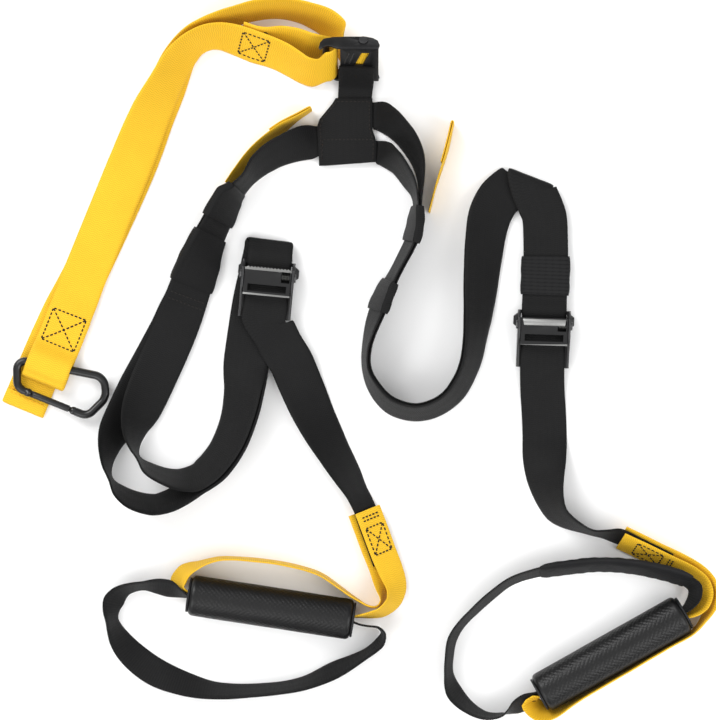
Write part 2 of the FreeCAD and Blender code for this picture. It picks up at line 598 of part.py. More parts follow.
YOKE = [(-22.5, 224), (-25.6, 219), (-36.4, 206), (-38.5, 199.6), (-37, 174), (-36.7, 166),
        (-9, 169), (12, 169.7), (12.5, 186), (9, 198), (9, 224)]
panel("yoke_back_panel", YOKE, 0, "panel_thick")
panel("yoke_front_panel", YOKE, size("front_panel_low"), "panel_thick")
neck = leg([(-6.2, 221.8, 0, 2.3, 29), (-6, 226, 0, 2.3, 29), (-5.4, 232, 0, 4.0, 29.5),
            (-5, 237, 0, 9.2, 30), (-4.8, 243.2, 0, 17.8, 30), (-4.6, 248.6, 0, 25.6, 30)],
           30, 5)
soft("yoke_neck", ribbon(neck, 2.2))

# -- cam buckles


def pin_node(label, place, length, along, height, turn_to=None):
    """A headed pin: a cylinder and two heads, fused, lying along the buckle's width."""
    lie = Rotation(Vector(0, 1, 0), 90) if turn_to is None else turn_to
    axis = lie.multVec(UP)
    spot = Vector(0, along, height) if turn_to is None else Vector(along, 0, height)
    head = size("pin_head_thick")
    pieces = []
    for name, start, long, diameter in (
            ("shaft", -length / 2 - head, length + 2 * head, "pin_diameter"),
            ("near", -length / 2 - head, head, "pin_head"),
            ("far", length / 2, head, "pin_head")):
        cylinder = doc.addObject("Part::Cylinder", f"{label}_{name}")
        cylinder.setExpression("Radius", f"Sizes.{diameter} / 2")
        cylinder.Height = long
        cylinder.Placement = Placement(spot + axis * start, lie)
        pieces.append(cylinder)
    fuse = doc.addObject("Part::MultiFuse", label)
    fuse.Shapes = pieces
    fuse.Placement = place
    return keep(fuse, label)


def spring_node(label, place, spot, lie):
    """A coil spring: a circle of wire swept along a helix."""
    helix = doc.addObject("Part::Helix", label + "_coil")
    helix.setExpression("Pitch", "Sizes.spring_pitch")
    helix.setExpression("Height", "Sizes.spring_length")
    helix.setExpression("Radius", "Sizes.spring_radius")
    wire = doc.addObject("Part::Circle", label + "_wire")
    wire.setExpression("Radius", "Sizes.spring_wire / 2")
    wire.Placement = Placement(Vector(size("spring_radius"), 0, 0), Rotation(Vector(1, 0, 0), 90))
    sweep = doc.addObject("Part::Sweep", label)
    sweep.Sections = [wire]
    sweep.Spine = (helix, ["Edge1"])
    sweep.Solid = True
    sweep.Frenet = True
    sweep.Placement = place * Placement(spot, lie)
    return keep(sweep, label)


def cam_lever(label, place, toothed):
    """The cam: a nose, a hub on the pin and a thumb plate with a window and a comb or a rib.

    In its own frame the pin is the X axis, the thumb plate reaches along -Y and the nose points
    down towards the base plate.
    """
    width = size("channel_width") - 2 * size("cam_side_play")
    hub, nose, reach = size("hub_radius"), size("cam_nose"), size("lever_reach")
    top = size("lever_height") - size("pin_height")
    body = new_body(label, place)
    profile = new_sketch(body, label + "_profile", "YZ_Plane")
    arc_points = []
    for angle in range(0, 181, 30):
        a = math.radians(angle)
        arc_points.append((hub * math.cos(a), hub * math.sin(a)))
    thick = size("lever_thick")
    outline(profile, [(hub + 1.6, 2.4), (hub + 1.6, top + 0.4), (hub - 0.4, top + 0.4),
                      (hub * 0.5, top + 0.1), (-reach + 1.5, top - 0.6), (-reach, top - 0.2),
                      (-reach, top - thick), (-reach + 1.5, top - thick - 0.6), (-hub, top - thick),
                      (-hub, 0), (-hub * 0.8, -hub * 0.6), (0.4, -nose + 0.5), (2.4, -nose),
                      (3.6, -nose + 0.6), (4.4, -nose + 2.0), (hub + 0.2, -1.5), (hub, 0.6)])
    pad(body, profile, width, "Sizes.channel_width - 2 * Sizes.cam_side_play", middle=True)
    bore = new_sketch(body, label + "_bore", "YZ_Plane")
    bore.addGeometry(Part.Circle(Vector(0, 0, 0), UP, size("pin_bore") / 2), False)
    held = bore.addConstraint(Sketcher.Constraint("Diameter", 0, size("pin_bore")))
    bore.setExpression(f"Constraints[{held}]", "Sizes.pin_bore")
    pocket(body, bore, width + 2, middle=True)
    window = new_sketch(body, label + "_window", "XY_Plane", -1)
    rectangle(window, -width / 2 + 3.5, -reach + 3.2, width - 7, size("lever_window"),
              "Sizes.channel_width - 2 * Sizes.cam_side_play - 7", "Sizes.lever_window")
    pocket(body, window, 12, reverse=True)
    recess = new_sketch(body, label + "_recess", "XY_Plane", -nose - 1)
    rectangle(recess, width / 2 - 8.5, -hub - 0.3, 7.3, 2 * hub + 0.8)
    pocket(body, recess, nose + top + 3, reverse=True)
    comb = new_sketch(body, label + "_comb", "XY_Plane", top + 0.2)
    left, right, low = 1.5 - width / 2, width / 2 - 1.5, hub - 0.2
    if toothed:
        teeth, depth = int(size("comb_teeth")), size("comb_depth")
        tip, pitch = hub + 1.4 + depth, (width - 3) / size("comb_teeth")
        edge = [(left, low)]
        for tooth in range(teeth):
            edge += [(left + tooth * pitch, tip - depth), (left + (tooth + 0.5) * pitch, tip)]
        edge += [(right, tip - depth), (right, low)]
    else:
        edge = [(left + 1.2, low - 4.6), (left, low + 0.8), (right, low + 0.8),
                (right - 1.2, low - 4.6)]
    outline(comb, edge[::-1])
    pad(body, comb, size("comb_height") / 2)
    return keep(body, label)


def cam_buckle(side):
    """Frame, cam lever, pin and spring of one 38 mm cam buckle."""
    place = buckle_place(side)
    plate, inner = size("plate_thick"), size("channel_width")
    front, rear = size("frame_front"), size("frame_rear")
    outer = inner + 2 * plate
    body = new_body(f"{side}_buckle_frame", place)
    base = new_sketch(body, f"{side}_base", "XY_Plane", -plate)
    rectangle(base, -outer / 2, -rear, outer, front + rear,
              "Sizes.channel_width + 2 * Sizes.plate_thick", "Sizes.frame_front + Sizes.frame_rear")
    pad(body, base, plate, "Sizes.plate_thick")
    wings = new_sketch(body, f"{side}_wings", "XY_Plane", -plate)
    wing, middle, half = size("wing_width") / 2, size("wing_middle"), size("wing_length") / 2
    outline(wings, [(-wing, middle - half * 0.5), (-wing, middle + half * 0.5),
                    (-outer / 2 + 1, middle + half), (outer / 2 - 1, middle + half),
                    (wing, middle + half * 0.5), (wing, middle - half * 0.5),
                    (outer / 2 - 1, middle - half), (-outer / 2 + 1, middle - half)])
    pad(body, wings, plate, "Sizes.plate_thick")
    high, low = size("side_high"), size("side_low")
    for name, start in (("left", -outer / 2), ("right", inner / 2)):
        cheek = new_sketch(body, f"{side}_{name}_cheek", "YZ_Plane", start)
        outline(cheek, [(-rear, -1), (-rear, low), (-rear + 12, low + 1), (-4, high - 3),
                        (4, high), (15, high), (19.5, high - 4), (front, low + 1), (front, -1)])
        pad(body, cheek, plate, "Sizes.plate_thick")
    slot = new_sketch(body, f"{side}_slot", "XY_Plane", 1)
    rectangle(slot, -size("slot_width") / 2, front - size("bar_width") - size("loop_slot"),
              size("slot_width"), size("loop_slot"), "Sizes.slot_width", "Sizes.loop_slot")
    pocket(body, slot, plate + 2)
    bore = new_sketch(body, f"{side}_bore", "YZ_Plane")
    bore.addGeometry(Part.Circle(Vector(size("pin_forward"), size("pin_height"), 0), UP,
                                 size("pin_diameter") / 2 + 0.02), False)
    pocket(body, bore, outer + 10, middle=True)
    keep(body, f"{side}_buckle_frame")
    pin_spot = Vector(0, size("pin_forward"), size("pin_height"))
    cam_lever(f"{side}_cam_lever", place * Placement(pin_spot, Rotation()), side == "left")
    pin_node(f"{side}_cam_pin", place, outer + 0.1, size("pin_forward"), size("pin_height"))
    spring_node(f"{side}_cam_spring", place, pin_spot + Vector(inner / 2 - 8.3, 0, 0),
                Rotation(Vector(0, 1, 0), 90))


cam_buckle("left")
cam_buckle("right")

# -- main buckle: base plate to the front, cam behind, a bar for the anchor loop at its left

main_inner = size("main_channel")
main_outer = main_inner + 2 * size("plate_thick")
main_half = size("main_length") / 2
main_side = size("main_side_high")
frame = new_body("main_buckle_frame", main_place)
face = new_sketch(frame, "main_face", "XY_Plane", -size("plate_thick"))
rectangle(face, -10.5, -main_outer / 2, main_half + 10.5 - 1, main_outer, "",
          "Sizes.main_channel + 2 * Sizes.plate_thick")
pad(frame, face, size("plate_thick"), "Sizes.plate_thick")
for name, start in (("lower", -main_outer / 2), ("upper", main_inner / 2)):
    cheek = new_sketch(frame, f"main_{name}_cheek", "XZ_Plane", -start - size("plate_thick"))
    outline(cheek, [(-10.5, 0), (-14, -0.6), (-17.5, -2.4), (-21.5, -3.2), (-24.5, -1.6),
                    (-27.5, 0.9), (-28.6, -1.2), (-27.6, -6), (-24.5, -10.6), (-17, -main_side + 0.6),
                    (-7, -main_side), (11, -main_side), (17.5, -main_side + 1.6), (21.5, -8.5),
                    (main_half, -3.5), (main_half - 1, 0)])
    pad(frame, cheek, size("plate_thick"), "Sizes.plate_thick")
bar = new_sketch(frame, "main_bar", "XZ_Plane")
bar.addGeometry(Part.Circle(Vector(-22.5, -7.2, 0), UP, size("main_bar") / 2), False)
held = bar.addConstraint(Sketcher.Constraint("Diameter", 0, size("main_bar")))
bar.setExpression(f"Constraints[{held}]", "Sizes.main_bar")
pad(frame, bar, main_inner + 2, middle=True)
window = new_sketch(frame, "main_window", "XY_Plane", 1)
outline(window, [(1.5, -1), (8.5, -1), (14.5, 15), (7.5, 15)])
pocket(frame, window, size("plate_thick") + 1.5)
for name, left_edge in (("first", -7.5), ("second", -3.5)):
    rib = new_sketch(frame, f"main_{name}_rib", "XY_Plane", -0.5)
    outline(rib, [(left_edge, 2), (left_edge + 1.2, 2), (left_edge + 5.2, 15), (left_edge + 4, 15)])
    pad(frame, rib, 1.3)
rivet_hole = new_sketch(frame, "main_bore", "XZ_Plane")
rivet_hole.addGeometry(Part.Circle(Vector(size("pin_forward"), -size("pin_height"), 0), UP,
                                   size("pin_diameter") / 2 + 0.02), False)
pocket(frame, rivet_hole, main_outer + 6, middle=True)
keep(frame, "main_buckle_frame")
main_pin_spot = Vector(size("pin_forward"), 0, -size("pin_height"))
main_cam_width = main_inner - 2 * size("cam_side_play")
main_cam = new_body("main_cam_lever", main_place * Placement(main_pin_spot, Rotation()))
cam_face = new_sketch(main_cam, "main_cam_profile", "XZ_Plane")
outline(cam_face, [(4.6, 0.2), (3.2, 2.5), (1.6, 3.3), (-0.6, 2.7), (-3.2, 1.0), (-4.4, -0.6),
                   (-5.0, -2.4), (-11.4, -3.1), (-13.0, -2.5), (-13.4, -3.4), (-12.2, -5.1),
                   (-5.0, -4.6), (3.0, -4.3), (4.6, -2.4)])
pad(main_cam, cam_face, main_cam_width, "Sizes.main_channel - 2 * Sizes.cam_side_play",
    middle=True)
cam_bore = new_sketch(main_cam, "main_cam_bore", "XZ_Plane")
cam_bore.addGeometry(Part.Circle(Vector(0, 0, 0), UP, size("pin_bore") / 2), False)
held = cam_bore.addConstraint(Sketcher.Constraint("Diameter", 0, size("pin_bore")))
cam_bore.setExpression(f"Constraints[{held}]", "Sizes.pin_bore")
pocket(main_cam, cam_bore, main_cam_width + 2, middle=True)
cam_recess = new_sketch(main_cam, "main_cam_recess", "XY_Plane", 5.5)
rectangle(cam_recess, -4.2, main_cam_width / 2 - 8.5, 9.4, 7.3)
pocket(main_cam, cam_recess, 9)
keep(main_cam, "main_cam_lever")
pin_node("main_cam_pin", main_place, main_outer + 0.1, size("pin_forward"),
         -size("pin_height"), Rotation(Vector(1, 0, 0), -90))
spring_node("main_cam_spring", main_place, main_pin_spot + Vector(0, main_inner / 2 - 8.3, 0),
            Rotation(Vector(1, 0, 0), -90))

# -- grips


def grip_place(side):
    """The grip's own frame: its axis is X."""
    return Placement(
        Vector(size(f"{side}_grip_across"), size(f"{side}_grip_along"), size("grip_lift")) + SHIFT,
        Rotation(UP, size(f"{side}_grip_turn")) * Rotation(Vector(0, 1, 0), 90))


def grip(side):
    place = grip_place(side)
    long, foam_radius = size("grip_length"), size("grip_diameter") / 2
    body = new_body(f"{side}_grip_foam", place)
    foam = new_sketch(body, f"{side}_foam_section", "XZ_Plane")
    inner, soft_edge = size("grip_bore") / 2, size("grip_round")
    reach = soft_edge * (1 - math.sqrt(0.5))
    outline(foam, [(inner, -long / 2), (foam_radius - soft_edge, -long / 2),
                   (foam_radius - reach, -long / 2 + reach), (foam_radius, -long / 2 + soft_edge),
                   (foam_radius, long / 2 - soft_edge), (foam_radius - reach, long / 2 - reach),
                   (foam_radius - soft_edge, long / 2), (inner, long / 2)])
    spin = body.newObject("PartDesign::Revolution", f"{side}_foam_turned")
    spin.Profile = foam
    spin.ReferenceAxis = (foam, ["V_Axis"])
    spin.Angle = 360
    keep(body, f"{side}_grip_foam")
    tube = doc.addObject("Part::Cylinder", f"{side}_tube_outside")
    tube.setExpression("Radius", "Sizes.tube_outer / 2")
    bore = doc.addObject("Part::Cylinder", f"{side}_tube_inside")
    bore.setExpression("Radius", "Sizes.tube_inner / 2")
    rim = size("ring_thick")
    tube.Height = long + 2 * rim
    bore.Height = long + 2 * rim + 2
    tube.Placement = Placement(Vector(0, 0, -long / 2 - rim), Rotation())
    bore.Placement = Placement(Vector(0, 0, -long / 2 - rim - 1), Rotation())
    shell = doc.addObject("Part::Cut", f"{side}_grip_tube")
    shell.Base = tube
    shell.Tool = bore
    shell.Placement = place
    keep(shell, f"{side}_grip_tube")
    for name, start in (("inner", -long / 2 - rim), ("outer", long / 2 + 0.1)):
        disc = doc.addObject("Part::Cylinder", f"{side}_{name}_disc")
        disc.setExpression("Radius", "Sizes.ring_outer / 2")
        hole = doc.addObject("Part::Cylinder", f"{side}_{name}_hole")
        hole.setExpression("Radius", "Sizes.tube_outer / 2 + 0.02")
        disc.Height = rim - 0.1
        hole.Height = rim + 2
        disc.Placement = Placement(Vector(0, 0, start), Rotation())
        hole.Placement = Placement(Vector(0, 0, start - 1), Rotation())
        ring = doc.addObject("Part::Cut", f"{side}_{name}_grip_ring")
        ring.Base = disc
        ring.Tool = hole
        ring.Placement = place
        keep(ring, f"{side}_{name}_grip_ring")


grip("left")
grip("right")

# -- carabiner

HOOK = [((-246.5, -43.3), 0), ((-234.5, -48.1), 9), ((-218.3, -32), 14), ((-220.5, -14.4), 11),
        ((-295, 0.5), 7), ((-294.4, -23.8), 9), ((-285.1, -27.8), 0)]


def rounded_path(points, height):
    """A wire through the points with each corner turned at its own radius."""
    spots = [Vector(x, y, height) + SHIFT for (x, y), _ in points]
    edges, last = [], spots[0]
    for i in range(1, len(spots) - 1):
        into = (spots[i] - spots[i - 1]).normalize()
        out = (spots[i + 1] - spots[i]).normalize()
        bend = into.getAngle(out)
        cut = points[i][1] * math.tan(bend / 2)
        enter, leave = spots[i] - into * cut, spots[i] + out * cut
        mid_way = (out - into).normalize()
        peak = spots[i] + mid_way * (points[i][1] / math.cos(bend / 2) - points[i][1])
        edges.append(Part.makeLine(last, enter))
        edges.append(Part.Arc(enter, peak, leave).toShape())
        last = leave
    edges.append(Part.makeLine(last, spots[-1]))
    return Part.Wire(edges)


bar_radius = size("carabiner_bar") / 2
spine = rounded_path(HOOK, size("carabiner_lift"))
start_point = spine.OrderedVertexes[0].Point
start_way = (spine.OrderedVertexes[1].Point - start_point)
section = Part.Wire([Part.makeCircle(bar_radius, start_point, start_way)])
hook_bar = spine.makePipeShell([section], True, False, 2)
NOSE = Vector(*HOOK[0][0], size("carabiner_lift")) + SHIFT
HINGE = Vector(*HOOK[-1][0], size("carabiner_lift")) + SHIFT
gate_way = (NOSE - HINGE).normalize()
gate_side = UP.cross(gate_way)
knuckle = Part.makeSphere(bar_radius + 0.4, HINGE)
nose_ball = Part.makeSphere(bar_radius + 0.2, NOSE)
bar_solid = hook_bar.fuse([knuckle, nose_ball])
gap = size("gate_gap")
gate_radius = 2.9


def slab(centre, long, wide, tall):
    """A block centred on a point, long along the gate."""
    block = Part.makeBox(long, wide, tall, Vector(-long / 2, -wide / 2, -tall / 2))
    block.Placement = Placement(centre, Rotation(gate_way, gate_side, UP, "XYZ"))
    return block


tongue_tall, latch_tall = 2.6, 2.2
hinge_gap = slab(HINGE + gate_way * 2.5, 13, 12, tongue_tall + 2 * gap)
latch_gap = slab(NOSE - gate_way * 1.5, 7.6, 12, latch_tall + 2 * gap)
front_cut = slab(HINGE + gate_way * 8.4, 8, 12, 12)
nose_cut = slab(NOSE - gate_way * 6.2, 6, 12, 12)
pin_hole = Part.makeCylinder(size("gate_pin_diameter") / 2, 20, HINGE - UP * 10)
bar_solid = bar_solid.cut(hinge_gap).cut(latch_gap).cut(front_cut).cut(nose_cut).cut(pin_hole)
soft("carabiner_body", bar_solid.removeSplitter())

reach = (NOSE - HINGE).Length
rod_start = HINGE + gate_way * (bar_radius + 1.4)
rod = Part.makeCylinder(gate_radius, reach - 2 * bar_radius - 2.1, rod_start, gate_way)
tongue = slab(HINGE + gate_way * 2.2, 7.2, 5.4, tongue_tall)
latch = slab(NOSE - gate_way * 2.4, 5.4, 4.2, latch_tall)
gate = rod.fuse([tongue, latch])
spindle = Part.makeCylinder(size("gate_pin_diameter") / 2 + 0.05, 20, HINGE - UP * 10)
soft("carabiner_gate", gate.cut(spindle).removeSplitter())
gate_pin = doc.addObject("Part::Cylinder", "gate_pin")
gate_pin.setExpression("Radius", "Sizes.gate_pin_diameter / 2")
gate_pin.setExpression("Height", "Sizes.carabiner_bar + 0.8")
gate_pin.Placement = Placement(HINGE - UP * (bar_radius + 0.4), Rotation())
keep(gate_pin, "carabiner_gate_pin")

# ---------------------------------------------------------------- checks and files

doc.recompute()
os.makedirs("parts", exist_ok=True)
for obj in doc.Objects:
    if any(state in ("Invalid", "Error") for state in obj.State):
        raise RuntimeError(f"{obj.Label}: {obj.State}")
for obj in nodes:
    if obj.Shape.isNull() or not obj.Shape.isValid():
        raise RuntimeError(f"{obj.Label} has no sound shape")
for obj in nodes:
    obj.Shape.exportStep(f"parts/{obj.Label}.step")
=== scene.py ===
"""Strap suspension trainer laid out on a pale floor: the visible pieces built over the frame."""
import logging
import math
from dataclasses import dataclass, field, replace
from enum import Enum
from itertools import permutations
from typing import Callable, Iterable, Optional, Sequence

import bmesh
import bpy
from mathutils import Matrix, Vector, noise


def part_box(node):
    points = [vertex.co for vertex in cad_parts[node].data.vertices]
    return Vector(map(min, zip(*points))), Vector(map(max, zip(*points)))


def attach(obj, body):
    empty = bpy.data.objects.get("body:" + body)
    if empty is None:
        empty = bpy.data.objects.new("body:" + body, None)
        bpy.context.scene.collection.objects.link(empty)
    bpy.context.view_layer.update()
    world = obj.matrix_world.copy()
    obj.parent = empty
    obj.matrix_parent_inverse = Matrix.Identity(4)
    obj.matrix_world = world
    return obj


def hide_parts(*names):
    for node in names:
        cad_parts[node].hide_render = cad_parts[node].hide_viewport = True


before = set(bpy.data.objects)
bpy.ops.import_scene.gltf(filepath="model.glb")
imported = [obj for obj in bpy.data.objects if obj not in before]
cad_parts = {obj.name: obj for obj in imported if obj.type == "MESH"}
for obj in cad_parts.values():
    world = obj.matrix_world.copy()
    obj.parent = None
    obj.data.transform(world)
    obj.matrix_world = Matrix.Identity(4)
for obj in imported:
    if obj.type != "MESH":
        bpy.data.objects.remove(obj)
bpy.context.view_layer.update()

LOG = logging.getLogger("trainer")
MM = 0.001
UP = Vector((0.0, 0.0, 1.0))
WELD_GAP = 0.004 * MM
WIDTH_SLACK = 0.4 * MM
THREAD_RADIUS = 0.62 * MM
THICKEST_TAPE = 2.7 * MM
HALF_WIDE_TAPE = 19 * MM
SHIFT = Vector((1.8, 0.1, 0.0)) * MM
SHARP_ANGLE = math.radians(50)
HARD_EDGE = math.radians(38)
Colour = tuple[float, float, float]
Pair = tuple[float, float]
UvMap = dict[int, Pair]
Faces = list[list[int]]
Ring = list[bmesh.types.BMVert]


def spot(x: float, y: float, z: float = 0.0) -> Vector:
    """A point of the layout, given in millimetres, in the row frame."""
    return Vector((x, y, z)) * MM + SHIFT


class Held(Enum):
    """How a length of webbing lies."""

    LAID = "laid"
    FOLDED = "folded"
    STRETCHED = "stretched"


# ------------------------------------------------------------------ shader groups

def set_sockets(node: bpy.types.Node, values: dict[str, object]) -> None:
    """Set constant values on a node's own input sockets."""
    for name, value in values.items():
        node.inputs[name].default_value = value


class Nodes:
    """A short way to add nodes to a tree and join them."""

    def __init__(self, tree: bpy.types.NodeTree) -> None:
        """Keep the tree that the nodes go into."""
        self.tree = tree

    def add(self, kind: str, **settings: object) -> bpy.types.Node:
        """Add one node.

        Args:
            kind: the node's type name.
            settings: attributes to set on it.

        Returns:
            The new node.
        """
        node = self.tree.nodes.new(kind)
        for key, value in settings.items():
            setattr(node, key, value)
        return node

    def join(self, source: object, target: object) -> None:
        """Feed a socket or a plain value into an input socket."""
        if isinstance(source, bpy.types.NodeSocket):
            self.tree.links.new(source, target)
        else:
            target.default_value = source

    def math(self, operation: str, first: object, second: object = None,
             clamp: bool = False) -> bpy.types.NodeSocket:
        """Add a Math node and return its output."""
        node = self.add("ShaderNodeMath", operation=operation, use_clamp=clamp)
        self.join(first, node.inputs[0])
        if second is not None:
            self.join(second, node.inputs[1])
        return node.outputs[0]

    def blend(self, factor: object, first: object, second: object) -> bpy.types.NodeSocket:
        """Mix two colours and return the result socket."""
        node = self.add("ShaderNodeMix", data_type="RGBA")
        self.join(factor, node.inputs[0])
        self.join(first, node.inputs[6])
        self.join(second, node.inputs[7])
        return node.outputs[2]

    def scaled(self, value: object, factor: float, base: float) -> bpy.types.NodeSocket:
        """The value times a factor, plus a base."""
        return self.math("ADD", self.math("MULTIPLY", value, factor), base)

    def bump(self, height: object, shader: bpy.types.Node, strength: float,
             distance: float) -> None:
        """Feed a height through a Bump node into the shader's normal."""
        node = self.add("ShaderNodeBump")
        set_sockets(node, {"Strength": strength, "Distance": distance})
        self.join(height, node.inputs["Height"])
        self.join(node.outputs[0], shader.inputs["Normal"])

    def place(self, group: bpy.types.NodeTree, **values: object) -> bpy.types.Node:
        """Place a shared group with its own values, named with _ for each space."""
        node = self.add("ShaderNodeGroup", node_tree=group)
        for key, value in values.items():
            self.join(value, node.inputs[key.replace("_", " ")])
        return node


def shared_group(name: str, inputs: Sequence[tuple[str, str, object]],
                 outputs: Sequence[tuple[str, str]]) -> tuple[Nodes, object, object]:
    """Start a shader node group.

    Args:
        name: the group's name.
        inputs: a name, a socket type and a default for each input.
        outputs: a name and a socket type for each output.

    Returns:
        The group's nodes, its input node and its output node.
    """
    tree = bpy.data.node_groups.new(name, "ShaderNodeTree")
    for label, kind, default in inputs:
        socket = tree.interface.new_socket(name=label, in_out="INPUT", socket_type=kind)
        if default is not None:
            socket.default_value = default
    for label, kind in outputs:
        tree.interface.new_socket(name=label, in_out="OUTPUT", socket_type=kind)
    nodes = Nodes(tree)
    return nodes, nodes.add("NodeGroupInput"), nodes.add("NodeGroupOutput")


FLOAT, VECTOR = "NodeSocketFloat", "NodeSocketVector"


def weave_group() -> bpy.types.NodeTree:
    """The webbing weave: ribs that zigzag across the tape, crossed by warp yarns.

    Returns:
        The group, with the output Height and a second output: the mask for painted shade, 1 deep
        in the weave's grooves.
    """
    nodes, source, result = shared_group(
        "webbing_weave",
        [("Coordinate", VECTOR, None), ("Rib", FLOAT, 0.0016), ("Yarn", FLOAT, 0.0024),
         ("Slant", FLOAT, 0.5)],
        [("Height", FLOAT), ("GrooveShade", FLOAT)])
    split = nodes.add("ShaderNodeSeparateXYZ")
    nodes.join(source.outputs["Coordinate"], split.inputs[0])
    across = nodes.math("DIVIDE", split.outputs[0], source.outputs["Yarn"])
    along = nodes.math("DIVIDE", split.outputs[1], source.outputs["Rib"])
    zigzag = nodes.math("MULTIPLY", nodes.math("PINGPONG", across, 1.0), source.outputs["Slant"])
    rib = nodes.math("SINE", nodes.math("MULTIPLY", nodes.math("ADD", along, zigzag), math.pi))
    warp = nodes.math("SINE", nodes.math("MULTIPLY", across, math.tau))
    rib_height = nodes.math("MULTIPLY", nodes.math("ABSOLUTE", rib), 0.72)
    warp_height = nodes.math("MULTIPLY", nodes.math("ABSOLUTE", warp), 0.28)
    height = nodes.math("ADD", rib_height, warp_height, clamp=True)
    nodes.join(height, result.inputs["Height"])
    # Painted shade mask: 1 deep in the grooves between ribs and yarns, 0 on their tops.
    nodes.join(nodes.math("POWER", nodes.math("SUBTRACT", 1.0, height), 2.0),
               result.inputs["GrooveShade"])
    return nodes.tree


def grain_group() -> bpy.types.NodeTree:
    """Soft blotches and fine grain over a surface.

    Returns:
        The group, with outputs Blotch and Grain, both from 0 to 1.
    """
    nodes, source, result = shared_group(
        "surface_grain",
        [("Coarse", FLOAT, 30.0), ("Fine", FLOAT, 900.0)],
        [("Blotch", FLOAT), ("Grain", FLOAT)])
    place = nodes.add("ShaderNodeTexCoord")
    for label, scale, detail in (("Blotch", "Coarse", 3.0), ("Grain", "Fine", 2.0)):
        texture = nodes.add("ShaderNodeTexNoise")
        nodes.join(place.outputs["Object"], texture.inputs["Vector"])
        nodes.join(source.outputs[scale], texture.inputs["Scale"])
        texture.inputs["Detail"].default_value = detail
        nodes.join(texture.outputs[0], result.inputs[label])
    return nodes.tree


def wear_group() -> bpy.types.NodeTree:
    """Rubbed edges: a mask that is 1 on sharp outer edges and breaks up with noise.

    Returns:
        The group, with the output Mask.
    """
    nodes, source, result = shared_group(
        "edge_rub", [("Reach", FLOAT, 0.5), ("Breakup", FLOAT, 400.0)], [("Mask", FLOAT)])
    shape = nodes.add("ShaderNodeNewGeometry")
    place = nodes.add("ShaderNodeTexCoord")
    texture = nodes.add("ShaderNodeTexNoise")
    nodes.join(place.outputs["Object"], texture.inputs["Vector"])
    nodes.join(source.outputs["Breakup"], texture.inputs["Scale"])
    edge = nodes.math("MULTIPLY", nodes.math("SUBTRACT", shape.outputs["Pointiness"], 0.53),
                      14.0, clamp=True)
    rubbed = nodes.math("MULTIPLY", edge, nodes.math("ADD", texture.outputs[0], 0.25))
    nodes.join(nodes.math("MULTIPLY", rubbed, source.outputs["Reach"], clamp=True),
               result.inputs["Mask"])
    return nodes.tree


WEAVE, GRAIN, RUB = weave_group(), grain_group(), wear_group()


# ------------------------------------------------------------------ finishes

def opaque(colour: Colour) -> tuple[float, float, float, float]:
    """The colour with full alpha."""
    return (*colour, 1.0)


def new_material(name: str) -> tuple[bpy.types.Material, Nodes, bpy.types.Node]:
    """Start a material.

    Args:
        name: the material's name.

    Returns:
        The material, its nodes and its Principled BSDF.
    """
    material = bpy.data.materials.new(name)
    material.use_nodes = True
    tree = material.node_tree
    return material, Nodes(tree), tree.nodes["Principled BSDF"]


@dataclass(frozen=True)
class WebbingFinish:
    """Woven tape in one colour."""

    name: str
    yarn: Colour
    # groove: the darker colour that the weave's grooves get as painted shade
    groove: Colour
    slot: str
    rib: float = 0.0017
    warp: float = 0.0030
    slant: float = 0.5
    depth: float = 0.00022
    roughness: float = 0.62
    sheen: float = 0.03
    specular: float = 0.14

    def build(self) -> bpy.types.Material:
        """Build the material from the weave and grain groups."""
        material, nodes, shader = new_material(self.name)
        uv = nodes.add("ShaderNodeUVMap", uv_map="tape")
        weave = nodes.place(WEAVE, Coordinate=uv.outputs[0], Rib=self.rib, Yarn=self.warp,
                            Slant=self.slant)
        grain = nodes.place(GRAIN, Coarse=38.0, Fine=1400.0)
        worn = tuple(c * 1.16 + 0.002 for c in self.yarn)
        yarn = nodes.blend(grain.outputs["Blotch"], opaque(self.yarn), opaque(worn))
        fleck = nodes.math("MULTIPLY", grain.outputs["Grain"], 0.35)
        # Painted shade: the groove colour goes deep in the weave's grooves, with random grain
        # flecks mixed into the same mask.
        dark = nodes.math("ADD", nodes.math("MULTIPLY", weave.outputs["GrooveShade"], 0.9), fleck,
                          clamp=True)
        nodes.join(nodes.blend(nodes.math("SUBTRACT", dark, 0.14, clamp=True), yarn,
                               opaque(self.groove)), shader.inputs["Base Color"])
        nodes.join(nodes.scaled(grain.outputs["Grain"], 0.22, self.roughness - 0.1),
                   shader.inputs["Roughness"])
        set_sockets(shader, {"Sheen Weight": self.sheen, "Sheen Roughness": 0.45,
                             "Specular IOR Level": self.specular})
        nodes.bump(weave.outputs["Height"], shader, 0.75, self.depth)
        return material


@dataclass(frozen=True)
class MetalFinish:
    """Painted or bare metal with rubbed edges."""

    name: str
    colour: Colour
    rubbed: Colour
    slot: str
    metallic: float = 1.0
    roughness: float = 0.3
    rub: float = 0.5
    coat: float = 0.0

    def build(self) -> bpy.types.Material:
        """Build the material from the rub and grain groups."""
        material, nodes, shader = new_material(self.name)
        rub = nodes.place(RUB, Reach=self.rub)
        grain = nodes.place(GRAIN, Coarse=120.0, Fine=2200.0)
        nodes.join(nodes.blend(rub.outputs["Mask"], opaque(self.colour), opaque(self.rubbed)),
                   shader.inputs["Base Color"])
        nodes.join(nodes.scaled(grain.outputs["Blotch"], 0.24, self.roughness - 0.12),
                   shader.inputs["Roughness"])
        nodes.join(nodes.math("MAXIMUM", rub.outputs["Mask"], self.metallic),
                   shader.inputs["Metallic"])
        set_sockets(shader, {"Specular IOR Level": 0.3, "Coat Weight": self.coat,
                             "Coat Roughness": 0.12})
        nodes.bump(grain.outputs["Grain"], shader, 0.25, 0.05 * MM)
        return material


